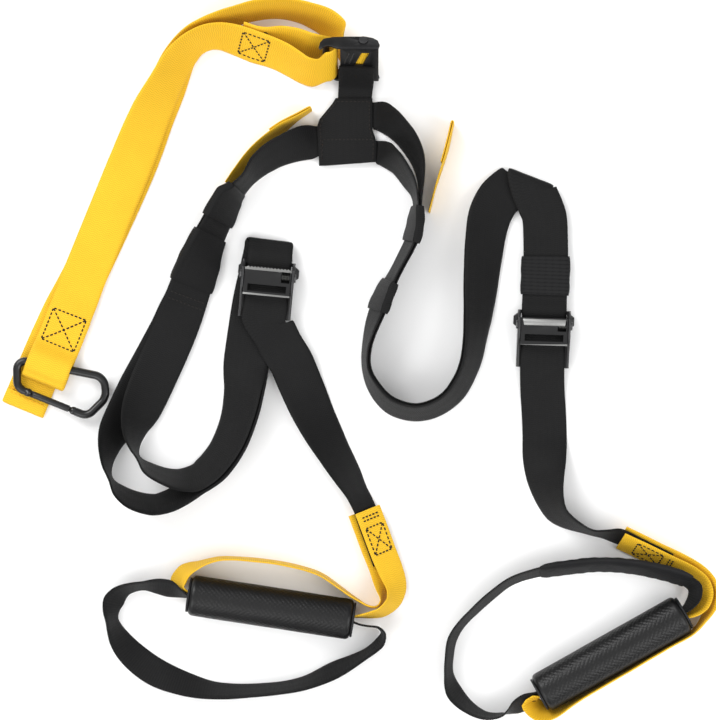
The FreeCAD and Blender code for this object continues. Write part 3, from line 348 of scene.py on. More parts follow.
@dataclass(frozen=True)
class MouldedFinish:
    """Foam, rubber or plastic with a pebbled skin."""

    name: str
    colour: Colour
    pale: Colour
    slot: str
    roughness: float = 0.7
    pebble: float = 700.0
    depth: float = 0.00012
    specular: float = 0.2

    def build(self) -> bpy.types.Material:
        """Build the material from the grain group and a cellular skin."""
        material, nodes, shader = new_material(self.name)
        place = nodes.add("ShaderNodeTexCoord")
        cells = nodes.add("ShaderNodeTexVoronoi")
        cells.inputs["Scale"].default_value = self.pebble
        nodes.join(place.outputs["Object"], cells.inputs["Vector"])
        grain = nodes.place(GRAIN, Coarse=60.0, Fine=1600.0)
        mix = nodes.math("MULTIPLY", grain.outputs["Blotch"], 0.8)
        nodes.join(nodes.blend(mix, opaque(self.colour), opaque(self.pale)),
                   shader.inputs["Base Color"])
        nodes.join(nodes.scaled(grain.outputs["Grain"], 0.2, self.roughness - 0.1),
                   shader.inputs["Roughness"])
        set_sockets(shader, {"Specular IOR Level": self.specular})
        nodes.bump(cells.outputs["Distance"], shader, 0.6, self.depth)
        return material


# Each tape's second colour is the painted shade deep in its weave's grooves.
BLACK_TAPE = WebbingFinish("black_tape", (0.0065, 0.0065, 0.0067), (0.0015, 0.0015, 0.0016),
                           "black_webbing")
YELLOW_TAPE = WebbingFinish("yellow_tape", (0.74, 0.445, 0.022), (0.40, 0.20, 0.008),
                            "yellow_webbing", depth=0.00018)
CRADLE_TAPE = WebbingFinish("cradle_tape", (0.0075, 0.0075, 0.0078), (0.002, 0.002, 0.0022),
                            "black_webbing", rib=0.0022, slant=0.0)
RIBBED_TAPE = WebbingFinish("ribbed_tape", (0.009, 0.009, 0.0095), (0.0015, 0.0015, 0.002),
                            "ribbed_patch", rib=0.0032, warp=0.012, slant=0.0, depth=0.0006)
DARK_THREAD = MouldedFinish("dark_thread", (0.010, 0.009, 0.009), (0.022, 0.02, 0.018),
                            "black_webbing", roughness=0.75, pebble=2400.0)
GOLD_THREAD = MouldedFinish("gold_thread", (0.72, 0.36, 0.012), (0.9, 0.5, 0.03),
                            "yellow_webbing", roughness=0.7, pebble=2400.0)
BLACK_ENAMEL = MetalFinish("black_enamel", (0.006, 0.006, 0.0065), (0.16, 0.16, 0.165),
                           "black_paint", metallic=0.0, roughness=0.34, rub=0.4, coat=0.1)
LEVER_STEEL = MetalFinish("lever_steel", (0.05, 0.05, 0.052), (0.4, 0.4, 0.4),
                          "bare_steel", metallic=0.6, roughness=0.36, rub=0.8)
BRIGHT_STEEL = MetalFinish("bright_steel", (0.24, 0.24, 0.235), (0.5, 0.5, 0.49),
                           "bare_steel", roughness=0.4)
SPRING_WIRE = MetalFinish("spring_wire", (0.07, 0.07, 0.066), (0.3, 0.3, 0.29),
                          "spring_steel", roughness=0.4)
BLACK_ALLOY = MetalFinish("black_alloy", (0.006, 0.006, 0.0065), (0.12, 0.12, 0.125),
                          "black_alloy", metallic=0.0, roughness=0.3, rub=0.25, coat=0.25)
GRIP_FOAM = MouldedFinish("grip_foam", (0.0022, 0.0022, 0.0024), (0.0045, 0.0045, 0.0048),
                          "foam", roughness=0.4, specular=0.34)
PAD_SKIN = MouldedFinish("pad_skin", (0.006, 0.006, 0.0065), (0.012, 0.012, 0.013),
                         "cradle_pad", roughness=0.68, pebble=420.0, depth=0.00025)
MOULDED_CAP = MouldedFinish("moulded_cap", (0.010, 0.010, 0.011), (0.018, 0.018, 0.02),
                            "plastic", roughness=0.45, pebble=1500.0, depth=0.00004)

Finish = WebbingFinish | MetalFinish | MouldedFinish
MATERIALS: dict[str, bpy.types.Material] = {}


def material_of(finish: Finish) -> bpy.types.Material:
    """The finish's material, built the first time it is asked for."""
    if finish.name not in MATERIALS:
        MATERIALS[finish.name] = finish.build()
    return MATERIALS[finish.name]


# ------------------------------------------------------------------ meshes

def new_object(name: str, data: bpy.types.ID) -> bpy.types.Object:
    """A new object in the scene that holds the data."""
    thing = bpy.data.objects.new(name, data)
    bpy.context.scene.collection.objects.link(thing)
    return thing


def add_piece(name: str, vertices: Sequence[Vector], faces: Sequence[Sequence[int]],
              finish: Finish, uvs: Optional[UvMap] = None,
              body: str = "straps") -> bpy.types.Object:
    """Make a smooth-shaded mesh object that rides on a body.

    Args:
        name: the piece's name.
        vertices: its points, in metres.
        faces: the indices of each face.
        finish: what it is made of.
        uvs: the tape coordinates of each vertex, in metres.
        body: the body it rides on.

    Returns:
        The new object.
    """
    mesh = bpy.data.meshes.new(name)
    mesh.from_pydata([tuple(v) for v in vertices], [], [tuple(f) for f in faces])
    if uvs is not None:
        layer = mesh.uv_layers.new(name="tape")
        for loop in mesh.loops:
            layer.data[loop.index].uv = uvs[loop.vertex_index]
    mesh.materials.append(material_of(finish))
    shell = bmesh.new()
    shell.from_mesh(mesh)
    bmesh.ops.recalc_face_normals(shell, faces=shell.faces)
    shell.to_mesh(mesh)
    shell.free()
    for polygon in mesh.polygons:
        polygon.use_smooth = True
    mesh.set_sharp_from_angle(angle=SHARP_ANGLE)
    thing = new_object(name, mesh)
    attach(thing, body)
    LOG.info("%s: %d faces", name, len(faces))
    return thing


def tube_faces(rows: int, count: int, closed: bool = False) -> Faces:
    """The faces of a tube.

    Args:
        rows: how many rings of points it has.
        count: the points in each ring.
        closed: whether the last ring joins the first.

    Returns:
        The indices of each four-sided face, ring by ring.
    """
    faces = []
    for row in range(rows if closed else rows - 1):
        one, two = row * count, (row + 1) % rows * count
        for k in range(count):
            after = (k + 1) % count
            faces.append([one + k, one + after, two + after, two + k])
    return faces


def end_faces(rows: int, count: int) -> Faces:
    """The two faces that shut a tube's ends."""
    return [list(range(count)), [(rows - 1) * count + k for k in reversed(range(count))]]


@dataclass
class Slice:
    """One cross-section of a tape: centre, unit width and normal, width and thickness."""

    centre: Vector
    across: Vector
    normal: Vector
    width: float
    thick: float
    along: float = 0.0

    def point(self, sideways: float, outward: float) -> Vector:
        """The point that far along the width and along the normal, in metres."""
        return self.centre + self.across * sideways + self.normal * outward


def measure_along(slices: Sequence[Slice]) -> None:
    """Give each slice its distance from the first."""
    for before, after in zip(slices, slices[1:]):
        after.along = before.along + (after.centre - before.centre).length


class TapeReader:
    """Reads the cross-sections of a tape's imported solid, end to end."""

    coplanar = 0.9999
    inner_edges = 6

    def __init__(self, node: str, end_width: float, start: Optional[Vector] = None) -> None:
        """Keep the solid's welded mesh.

        Args:
            node: the CAD node's name.
            end_width: the width of one of its ends, in metres.
            start: for a closed loop, the middle of the section to start at.
        """
        self.mesh = bmesh.new()
        self.mesh.from_mesh(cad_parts[node].data)
        bmesh.ops.remove_doubles(self.mesh, verts=self.mesh.verts, dist=WELD_GAP)
        self.mesh.verts.ensure_lookup_table()
        self.node, self.end_width, self.start = node, end_width, start

    def first_ring(self) -> Ring:
        """The four corners of the section the walk starts at, in order round it."""
        if self.start is not None:
            ring = sorted(self.mesh.verts, key=lambda v: (v.co - self.start).length)[:4]
        else:
            ring = self.end_cap()
        first = ring[0]
        mate = min(ring[1:], key=lambda v: (v.co - first.co).length)
        rest = [v for v in ring if v not in (first, mate)]
        near = min(rest, key=lambda v: (v.co - first.co).length)
        far = [v for v in rest if v is not near][0]
        return [first, near, far, mate]

    def end_cap(self) -> Ring:
        """The corners of the end face whose width is the one stated."""
        for one in self.mesh.faces:
            for edge in one.edges:
                if abs(edge.calc_length() - self.end_width) > WIDTH_SLACK:
                    continue
                for two in edge.link_faces:
                    corners = list(dict.fromkeys((*one.verts, *two.verts)))
                    if two is one or len(corners) != 4:
                        continue
                    if one.normal.dot(two.normal) < self.coplanar:
                        continue
                    if sum(len(v.link_edges) != self.inner_edges for v in corners) < 3:
                        continue
                    spans = sorted((a.co - b.co).length for i, a in enumerate(corners)
                                   for b in corners[i + 1:])
                    flat = abs(spans[2] - self.end_width) < WIDTH_SLACK
                    if flat and spans[1] < THICKEST_TAPE:
                        return corners
        raise RuntimeError(f"{self.node} has no end face {self.end_width} m wide")

    def slices(self) -> list[Slice]:
        """Walk from ring to ring and give each one's measures.

        Returns:
            The slices in order, with along counted in metres from the first.
        """
        ring = self.first_ring()
        seen = set(ring)
        rings = [ring]
        while True:
            ahead = []
            for corner in ring:
                for edge in corner.link_edges:
                    other = edge.other_vert(corner)
                    if other not in seen and other not in ahead:
                        ahead.append(other)
            if len(ahead) < 4:
                break
            if len(ahead) > 4:
                ahead = self.one_side(ring, ahead)
            ring = self.matched(ring, ahead)
            seen.update(ring)
            rings.append(ring)
        found = [self.measure(r) for r in rings]
        measure_along(found)
        self.mesh.free()
        return found

    def one_side(self, ring: Ring,
                 ahead: Ring) -> Ring:
        """Of a closed loop's two neighbouring sections, the one that holds the first corner."""
        middle = sum((v.co for v in ring), Vector()) / 4
        way = ahead[0].co - middle
        return sorted(ahead, key=lambda v: -(v.co - middle).dot(way))[:4]

    def matched(self, ring: Ring,
                ahead: Ring) -> Ring:
        """The next section's corners in the order of this one's."""
        here = sum((v.co for v in ring), Vector()) / 4
        there = sum((v.co for v in ahead), Vector()) / 4

        def cost(order: Ring) -> float:
            """How far the corners move relative to their middles."""
            return sum(((b.co - there) - (a.co - here)).length_squared
                       for a, b in zip(ring, order))

        return list(min(permutations(ahead), key=cost))

    @staticmethod
    def measure(ring: Ring) -> Slice:
        """The slice that the four corners stand for."""
        a, b, c, d = (v.co for v in ring)
        across = (b + c - a - d) * 0.5
        normal = (d + c - a - b) * 0.5
        return Slice((a + b + c + d) / 4, across.normalized(), normal.normalized(),
                     across.length, normal.length)


def refine(rough: Sequence[Slice], step: float, closed: bool = False) -> list[Slice]:
    """Slices every step along a smooth curve through the rough ones.

    Args:
        rough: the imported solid's sections.
        step: the distance wanted between slices, in metres.
        closed: whether the last slice joins the first.

    Returns:
        The finer slices.
    """
    count = len(rough)
    spans = count if closed else count - 1
    fine: list[Slice] = []
    for i in range(spans):
        p1, p2 = rough[i], rough[(i + 1) % count]
        p0 = rough[i - 1] if (i or closed) else p1
        p3 = rough[(i + 2) % count] if (i + 2 < count or closed) else p2
        span = (p2.centre - p1.centre).length
        before = max((p1.centre - p0.centre).length, 1e-6)
        after = max((p3.centre - p2.centre).length, 1e-6)
        lean_in = span * 2 / (before + span) if p0 is not p1 else 1.0
        lean_out = span * 2 / (after + span) if p3 is not p2 else 1.0
        pieces = max(1, round(span / step))
        for k in range(pieces):
            u = k / pieces
            h0, h1 = 2 * u**3 - 3 * u**2 + 1, 3 * u**2 - 2 * u**3
            g0, g1 = (u**3 - 2 * u**2 + u) * 0.5 * lean_in, (u**3 - u**2) * 0.5 * lean_out

            def curve(read: Callable[[Slice], object]) -> object:
                """One measure of the slice on the curve at u."""
                q0, q1, q2, q3 = read(p0), read(p1), read(p2), read(p3)
                return q1 * h0 + q2 * h1 + (q2 - q0) * g0 + (q3 - q1) * g1

            across = curve(lambda s: s.across).normalized()
            normal = curve(lambda s: s.normal)
            normal = (normal - across * normal.dot(across)).normalized()
            fine.append(Slice(curve(lambda s: s.centre), across, normal,
                              curve(lambda s: s.width), p1.thick))
    if not closed:
        fine.append(replace(rough[-1]))
    measure_along(fine)
    return fine


def tape_outline(width: float, thick: float, columns: int) -> list[Pair]:
    """Points round a tape's section: flat faces that thin towards the selvedges."""
    half, rise, flat_share = width / 2, thick / 2, 0.90
    top = []
    for k in range(columns + 1):
        t = -1 + 2 * k / columns
        edge = max(0.0, abs(t) - flat_share) / (1 - flat_share)
        side = half * t * (1 - 0.015 * edge)
        top.append((side, rise * (1 - 0.42 * edge**2) + 0.04 * MM * math.cos(9 * t)))
    bottom = [(x, -y) for x, y in reversed(top)]
    return top + [(half, 0.0)] + bottom + [(-half, 0.0)]


@dataclass
class WovenTape:
    """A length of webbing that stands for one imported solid."""

    node: str
    finish: WebbingFinish
    end_width: float
    flat_width: float
    held: Held = Held.LAID
    rests_on: tuple[str, ...] = ()
    closed_at: Optional[Vector] = None
    step: float = 2.6 * MM
    columns: int = 14
    ripple: float = 0.1 * MM
    waves: float = 210.0
    fine: list[Slice] = field(default_factory=list)

    def build(self) -> None:
        closed = self.closed_at is not None
        rough = TapeReader(self.node, self.end_width, self.closed_at).slices()
        self.fine = refine(rough, self.step, closed)
        vertices: list[Vector] = []
        uvs: UvMap = {}
        for slice_ in self.fine:
            lift = self.ripple * math.sin(slice_.along * self.waves + len(self.node))
            for sideways, outward in tape_outline(slice_.width, slice_.thick, self.columns):
                uvs[len(vertices)] = (sideways, slice_.along)
                vertices.append(slice_.point(sideways,
                                             outward + lift * sideways / HALF_WIDE_TAPE))
        size, rows = 2 * (self.columns + 1) + 2, len(self.fine)
        faces = tube_faces(rows, size, closed)
        if not closed:
            faces += end_faces(rows, size)
        tape = add_piece(f"{self.node}_tape", vertices, faces, self.finish, uvs)
        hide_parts(self.node)
        length = self.fine[-1].along
        if closed:
            length += (self.fine[0].centre - self.fine[-1].centre).length

    def nearest(self, place: Vector, part: Pair = (0.0, 1.0)) -> int:
        """The slice nearest to a place in plan within a part of the length, topmost first."""
        def score(index: int) -> float:
            """Plan distance less a share of the height."""
            gap = self.fine[index].centre - place
            return math.hypot(gap.x, gap.y) - 0.6 * self.fine[index].centre.z

        count = len(self.fine)
        return min(range(int(count * part[0]), int(count * part[1])), key=score)


# ------------------------------------------------------------------ stitching

@dataclass(frozen=True)
class StitchLine:
    """A line of thread on a tape: from and to, as (along, across) in metres from the middle."""

    start: Pair
    end: Pair


def box_and_cross(length: float, width: float) -> list[StitchLine]:
    """A sewn rectangle with both diagonals."""
    a, b = length / 2, width / 2
    corners = [(-a, -b), (a, -b), (a, b), (-a, b)]
    lines = [StitchLine(corners[i], corners[(i + 1) % 4]) for i in range(4)]
    return lines + [StitchLine(corners[0], corners[2]), StitchLine(corners[1], corners[3])]


def bars(offsets: Iterable[float], width: float) -> list[StitchLine]:
    """Straight rows across the tape."""
    return [StitchLine((o, -width / 2), (o, width / 2)) for o in offsets]


def add_stitch(stops: Sequence[tuple[Vector, Vector]], vertices: list[Vector],
               faces: Faces) -> None:
    """Add one stitch: a low arch of thread that dips into the cloth at both ends.

    Args:
        stops: points along it on the cloth, each with the normal there.
        vertices: the list that its points go into.
        faces: the list that its faces go into.
    """
    first, sides = len(vertices), 6
    way = (stops[-1][0] - stops[0][0]).normalized()
    for k, (point, normal) in enumerate(stops):
        cross = way.cross(normal).normalized()
        rise = THREAD_RADIUS * (-0.9 if k in (0, len(stops) - 1) else 0.35)
        for step in range(sides):
            angle = math.tau * step / sides
            vertices.append(point + normal * (rise + math.sin(angle) * THREAD_RADIUS * 0.7)
                            + cross * math.cos(angle) * THREAD_RADIUS)
    stitch = tube_faces(len(stops), sides) + end_faces(len(stops), sides)
    faces.extend([first + corner for corner in face] for face in stitch)


@dataclass
class Stitching:
    """Thread sewn into a tape near one place."""

    name: str
    tape: WovenTape
    place: Vector
    lines: list[StitchLine]
    finish: MouldedFinish
    pitch: float = 3.7 * MM
    part: Pair = (0.0, 1.0)

    def build(self) -> None:
        """Lay every stitch on the tape's upper face."""
        middle = self.tape.nearest(self.place, self.part)
        side = 1.0 if self.tape.fine[middle].normal.z >= 0 else -1.0
        vertices: list[Vector] = []
        faces: Faces = []
        for line in self.lines:
            start, end = Vector(line.start), Vector(line.end)
            run = (end - start).length
            count = max(1, round(run / self.pitch))
            for k in range(count):
                one = start.lerp(end, (k + 0.1) / count)
                two = start.lerp(end, (k + 0.9) / count)
                add_stitch([self.on_tape(middle, one.lerp(two, t), side)
                            for t in (0, 0.25, 0.75, 1)], vertices, faces)
        add_piece(self.name, vertices, faces, self.finish)

    def on_tape(self, middle: int, offset: Vector, side: float) -> tuple[Vector, Vector]:
        """A point just on the tape and the outward normal there."""
        fine = self.tape.fine
        goal = fine[middle].along + offset[0]
        index = min(range(len(fine)), key=lambda i: abs(fine[i].along - goal))
        slice_ = fine[index]
        ahead = fine[min(index + 1, len(fine) - 1)].centre - fine[max(index - 1, 0)].centre
        point = slice_.point(offset[1], side * slice_.thick / 2)
        return point + ahead.normalized() * (goal - slice_.along), slice_.normal * side


# ------------------------------------------------------------------ sleeves and pads

def rounded_ring(half_wide: float, half_thick: float, corner: float,
                 steps: int = 5) -> list[Pair]:
    """Points round a rectangle with rounded corners, anticlockwise."""
    corner = min(corner, half_thick * 0.98)
    points = []
    for turn, (sx, sy) in enumerate(((1, 1), (-1, 1), (-1, -1), (1, -1))):
        middle = (sx * (half_wide - corner), sy * (half_thick - corner))
        for k in range(steps + 1):
            angle = math.radians(90 * turn + 90 * k / steps)
            points.append((middle[0] + corner * math.cos(angle),
                           middle[1] + corner * math.sin(angle)))
    return points


@dataclass
class SewnSleeve:
    """A band of webbing sewn into a loop round the tapes that pass through it."""

    node: str
    tape: WovenTape
    inner_wide: float
    inner_thick: float
    finish: WebbingFinish
    wall: float = 1.3 * MM
    partner: Optional[WovenTape] = None
    puff: float = 0.35 * MM
    margin: float = 0.5 * MM
    crease: float = 0.3 * MM

    def slices(self) -> list[Slice]:
        """The tape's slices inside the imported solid's box, moved to the middle of the stack."""
        low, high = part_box(self.node)
        middle = (low + high) / 2
        inside = [s for s in self.tape.fine
                  if all(low[i] - self.margin < s.centre[i] < high[i] + self.margin
                         for i in range(3))]
        moved = []
        for slice_ in inside:
            centre = slice_.centre.copy()
            if self.partner is not None:
                other = min(self.partner.fine, key=lambda s: (s.centre - centre).length)
                centre = (centre + other.centre) / 2
            else:
                centre.z = middle.z
            moved.append(replace(slice_, centre=centre))
        return moved

    def build(self) -> None:
        """Build the loop with rolled rims and put it in place of its solid."""
        slices = self.slices()
        vertices: list[Vector] = []
        uvs: UvMap = {}
        rows = len(slices)
        count = 0
        for layer in (0, 1):
            for row, slice_ in enumerate(slices):
                end = abs(2 * row / (rows - 1) - 1)
                swell = self.puff * (1 - end**4) + self.crease * math.sin(row * 0.9) * (1 - end)
                rim = self.crease * max(0.0, end - 0.9) * 10
                grow = self.wall + swell - rim if layer == 0 else 0.0
                ring = rounded_ring(self.inner_wide / 2 + grow, self.inner_thick / 2 + grow,
                                    1.2 * MM + grow)
                count = len(ring)
                for k, (sideways, outward) in enumerate(ring):
                    uvs[len(vertices)] = (sideways, slice_.along + outward * 0.2)
                    vertices.append(slice_.point(sideways, outward))
        inside = rows * count
        faces = tube_faces(rows, count)
        faces += [[corner + inside for corner in quad[::-1]] for quad in faces]
        for row in (0, rows - 1):
            for k in range(count):
                a, b = row * count + k, row * count + (k + 1) % count
                faces.append([a, b, b + inside, a + inside])
        sleeve = add_piece(f"{self.node}_loop", vertices, faces, self.finish, uvs)
        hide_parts(self.node)


@dataclass
class CradlePad:
    """The padded cover on the right cradle: a soft tube, puckered along both seams."""

    node: str
    tape: WovenTape
    half_wide: float = 14.8 * MM
    half_thick: float = 3.7 * MM
    columns: int = 36

    def build(self) -> None:
        """Build the crowned pad along the cradle's webbing."""
        low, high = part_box(self.node)
        slices = [s for s in self.tape.fine
                  if low.x + 0.001 < s.centre.x < high.x - 0.001
                  and low.y - 0.001 < s.centre.y < high.y + 0.004]
        rows = len(slices)
        vertices: list[Vector] = []
        uvs: UvMap = {}
        for row, slice_ in enumerate(slices):
            end = abs(2 * row / (rows - 1) - 1)
            plump = max(0.0, 1 - end**14)
            for k in range(self.columns):
                angle = math.tau * k / self.columns
                side = math.copysign(abs(math.cos(angle)) ** 0.62, math.cos(angle))
                face = math.copysign(abs(math.sin(angle)) ** 0.85, math.sin(angle))
                pucker = 0.35 * MM * math.sin(slice_.along * 620) * abs(side) ** 3
                crease = 0.45 * MM * noise.noise(Vector((slice_.along * 90, side * 2, face * 2)))
                outward = (self.half_thick * (0.55 + 0.45 * plump) + pucker + crease) * face
                sideways = (self.half_wide - 1.2 * MM * (1 - plump) + pucker) * side
                uvs[len(vertices)] = (sideways, slice_.along)
                vertices.append(slice_.point(sideways, outward))
        faces = tube_faces(rows, self.columns) + end_faces(rows, self.columns)
        pad = add_piece(f"{self.node}_cover", vertices, faces, PAD_SKIN, uvs)
        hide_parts(self.node)


@dataclass
class YokePanel:
    """One face of the yoke: a trapezoid of folded webbing, pinched where nothing fills it."""

    node: str
    upper: bool
    outline_left: tuple[Pair, ...] = (
        (-36.7, 166.0), (-37.0, 174.0), (-38.5, 199.6), (-36.4, 206.0), (-25.6, 219.0),
        (-22.5, 224.0))
    outline_right: tuple[Pair, ...] = (
        (12.0, 169.7), (12.5, 186.0), (9.0, 198.0), (9.0, 224.0))
    hem_y: float = 166.4
    neck_y: float = 224.0
    pitch: float = 3.4 * MM
    columns: int = 40
    rows: int = 46

    def relief(self, u: float, v: float, outside: bool) -> float:
        """How far the cloth stands above or below its solid's face, in millimetres.

        Args:
            u: the share of the way across.
            v: the share of the way up.
            outside: whether this is the panel's upper face.
        """
        roll = max(0.0, 1 - min(u, 1 - u, v, 1 - v) * 22) ** 2
        if not self.upper:
            return -0.3 * roll if outside else 0.0
        crown = 0.35 * math.sin(math.pi * u) * math.sin(math.pi * v)
        dent = 0.25 * math.exp(-((v - 0.58) / 0.09) ** 2)
        if outside:
            return crown - dent - 0.75 * roll
        return 0.6 * (crown - dent) - 0.1 * roll

    @staticmethod
    def edge_at(edge: Sequence[Pair], y: float) -> float:
        """The outline's x at a height y."""
        if y <= edge[0][1]:
            return edge[0][0]
        for (x0, y0), (x1, y1) in zip(edge, edge[1:]):
            if y <= y1:
                return x0 + (x1 - x0) * (y - y0) / max(y1 - y0, 1e-6)
        return edge[-1][0]

    def build(self) -> None:
        """Build the panel as a thin crowned sheet and put it in place of its solid."""
        low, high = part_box(self.node)
        vertices: list[Vector] = []
        uvs: UvMap = {}
        for level, outside in ((high.z / MM, True), (low.z / MM, False)):
            for row in range(self.rows + 1):
                v = row / self.rows
                y = self.hem_y + (self.neck_y - self.hem_y) * v
                left = self.edge_at(self.outline_left, y)
                right = self.edge_at(self.outline_right, y)
                for column in range(self.columns + 1):
                    u = column / self.columns
                    x = left + (right - left) * u
                    lowest = self.outline_left[0][1] + 3.6 * u
                    uvs[len(vertices)] = (x * MM, y * MM)
                    vertices.append(spot(x, max(y, lowest),
                                         level + self.relief(u, v, outside)))
        across = self.columns + 1
        face_points = across * (self.rows + 1)
        faces: Faces = []
        for layer in (0, 1):
            for row in range(self.rows):
                for column in range(self.columns):
                    a = layer * face_points + row * across + column
                    quad = [a, a + 1, a + 1 + across, a + across]
                    faces.append(quad if layer == 0 else quad[::-1])
        border = (list(range(across))
                  + [r * across + self.columns for r in range(1, self.rows + 1)]
                  + [self.rows * across + c for c in reversed(range(self.columns))]
                  + [r * across for r in reversed(range(1, self.rows))])
        for a, b in zip(border, border[1:] + border[:1]):
            faces.append([b, a, a + face_points, b + face_points])
        panel = add_piece(f"{self.node}_cloth", vertices, faces, BLACK_TAPE, uvs)
        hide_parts(self.node)

    def stitch(self, inset: float) -> None:
        """Sew a seam round the panel, inset from its edge in millimetres."""
        _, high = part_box(self.node)
        corners = []
        for y in (168.5 + inset, 186.0, 199.0, 206.5, 218.5, 223.5 - inset):
            corners.append((self.edge_at(self.outline_right, y) - inset, y))
        for y in (223.5 - inset, 218.5, 206.5, 199.0, 186.0, 167.5 + inset):
            corners.append((self.edge_at(self.outline_left, y) + inset, y))
        corners += [(-36 + inset, 188.5), (12 - inset, 188.5)]
        vertices: list[Vector] = []
        faces: Faces = []
        for (x0, y0), (x1, y1) in zip(corners, corners[1:]):
            start, end = spot(x0, y0, 0), spot(x1, y1, 0)
            start.z = end.z = high.z + 0.1 * MM
            count = max(1, round((end - start).length / self.pitch))
            for k in range(count):
                stops = [(start.lerp(end, (k + t) / count), UP) for t in (0.1, 0.3, 0.7, 0.9)]
                add_stitch(stops, vertices, faces)
        add_piece(f"{self.node}_stitches", vertices, faces, DARK_THREAD)


# ------------------------------------------------------------------ grips

@dataclass
class FoamGrip:
    """A foam sleeve with a moulded lozenge pattern, over a plastic tube with end rings."""

    side: str
    middle: Vector
    turn: float
    length: float = 139 * MM
    radius: float = 17.3 * MM
    bore: float = 13.2 * MM
    rounding: float = 4.0 * MM
    lozenges_round: int = 26
    lozenges_long: int = 32
    relief: float = 0.35 * MM
    fade: float = 4.0 * MM
    rows: int = 256
    corner_steps: int = 7

    def frame_matrix(self) -> Matrix:
        """The grip's own frame: Z along its axis."""
        turned = Matrix.Rotation(math.radians(self.turn), 4, "Z")
        return (Matrix.Translation(self.middle) @ turned
                @ Matrix.Rotation(math.radians(90), 4, "Y"))

    def lozenge(self, angle: float, z: float) -> float:
        """Depth of the pattern from 0 on a lozenge's face to 1 in a groove."""
        a = angle / math.tau * self.lozenges_round
        b = z / self.length * self.lozenges_long
        one, two = (a + b) % 1.0, (a - b) % 1.0
        edge = min(one, 1 - one, two, 1 - two)
        return max(0.0, 1 - edge / 0.16) ** 1.3

    def build(self) -> None:
        around, half = self.lozenges_round * 8, self.length / 2
        place = self.frame_matrix()
        vertices: list[Vector] = []
        corner = [(self.bore, half - 0.4 * MM, False)]
        for k in range(self.corner_steps + 1):
            angle = math.pi / 2 * k / self.corner_steps
            corner.append((self.radius - self.rounding * (1 - math.sin(angle)),
                           half - self.rounding * (1 - math.cos(angle)), False))
        body = [(self.radius, (half - self.rounding) * (2 * k / self.rows - 1), True)
                for k in range(1, self.rows)]
        profile = [(radius, -z, pressed) for radius, z, pressed in corner] + body
        profile += corner[::-1]
        for radius, z, pressed in profile:
            for k in range(around):
                angle = math.tau * k / around
                depth = 0.0
                if pressed:
                    fade = min(1.0, (half - abs(z) - self.rounding) / self.fade)
                    depth = self.relief * self.lozenge(angle, z) * max(0.0, fade)
                    depth += 0.12 * MM * noise.noise(Vector((angle * 3, z * 60, 0)))
                r = radius - depth
                vertices.append(place @ Vector((r * math.cos(angle), r * math.sin(angle), z)))
        faces = tube_faces(len(profile), around, closed=True)
        foam = add_piece(f"{self.side}_grip_sleeve", vertices, faces, GRIP_FOAM,
                         body=f"{self.side}_grip")
        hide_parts(f"{self.side}_grip_foam")


# ------------------------------------------------------------------ hardware

class HardPart(Enum):
    """The finish of each sort of hardware."""

    FRAME = BLACK_ENAMEL
    PIN = LEVER_STEEL
    SPRING = SPRING_WIRE
    ALLOY = BLACK_ALLOY
    PLASTIC = MOULDED_CAP


@dataclass
class Hardware:
    """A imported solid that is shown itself, with softened edges and its own finish."""

    node: str
    kind: HardPart
    soften: float = 0.3 * MM

    def dress(self) -> bpy.types.Object:
        """Weld, soften and finish the solid.

        Returns:
            The node's object.
        """
        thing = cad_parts[self.node]
        thing.data.materials.clear()
        thing.data.materials.append(material_of(self.kind.value))
        weld = thing.modifiers.new("weld", "WELD")
        weld.merge_threshold = WELD_GAP
        if self.soften > 0:
            edges = thing.modifiers.new("soft edges", "BEVEL")
            edges.width = self.soften
            edges.segments = 2
            edges.limit_method = "ANGLE"
            edges.angle_limit = HARD_EDGE
            edges.use_clamp_overlap = True
        for polygon in thing.data.polygons:
            polygon.use_smooth = True
        thing.data.set_sharp_from_angle(angle=HARD_EDGE)
        LOG.info("%s finished in %s", self.node, self.kind.value.name)
        return thing


@dataclass
class CamBuckle:
    """One cam buckle: black frame and lever, bright comb, a bright line along the lever's far end
    that is partly worn steel and partly a painted highlight, pin and coil.
    """

    side: str
    middle: Vector
    turn: float
    bright: Pair
    lip_wear_and_highlight: float = -7.0 * MM

    def dress(self) -> None:
        """Finish the frame, lever, pin and spring."""
        Hardware(f"{self.side}_buckle_frame", HardPart.FRAME).dress()
        Hardware(f"{self.side}_cam_pin", HardPart.PIN, 0.4 * MM).dress()
        Hardware(f"{self.side}_cam_spring", HardPart.SPRING, 0.0).dress()
        lever = Hardware(f"{self.side}_cam_lever", HardPart.FRAME, 0.2 * MM).dress()
        lever.data.materials.append(material_of(BRIGHT_STEEL))
        inward = (Matrix.Translation(self.middle)
                  @ Matrix.Rotation(math.radians(self.turn), 4, "Z")).inverted()
        for polygon in lever.data.polygons:
            middle = inward @ polygon.center
            # The lever's far end gets bright steel too: a line that is partly worn steel and
            # partly a painted highlight.
            comb = middle.y > self.bright[0] and middle.z > self.bright[1]
            if comb or middle.y < self.lip_wear_and_highlight:
                polygon.material_index = 1


# ------------------------------------------------------------------ the trainer

def wide_tape(node: str, finish: WebbingFinish, end: float, **more: object) -> WovenTape:
    """A run of the 38 mm tape."""
    return WovenTape(node, finish, end * MM, 38 * MM, **more)


def narrow_tape(node: str, finish: WebbingFinish, end: float, **more: object) -> WovenTape:
    """A run of the 25 mm tape."""
    return WovenTape(node, finish, end * MM, 25 * MM, columns=10, **more)


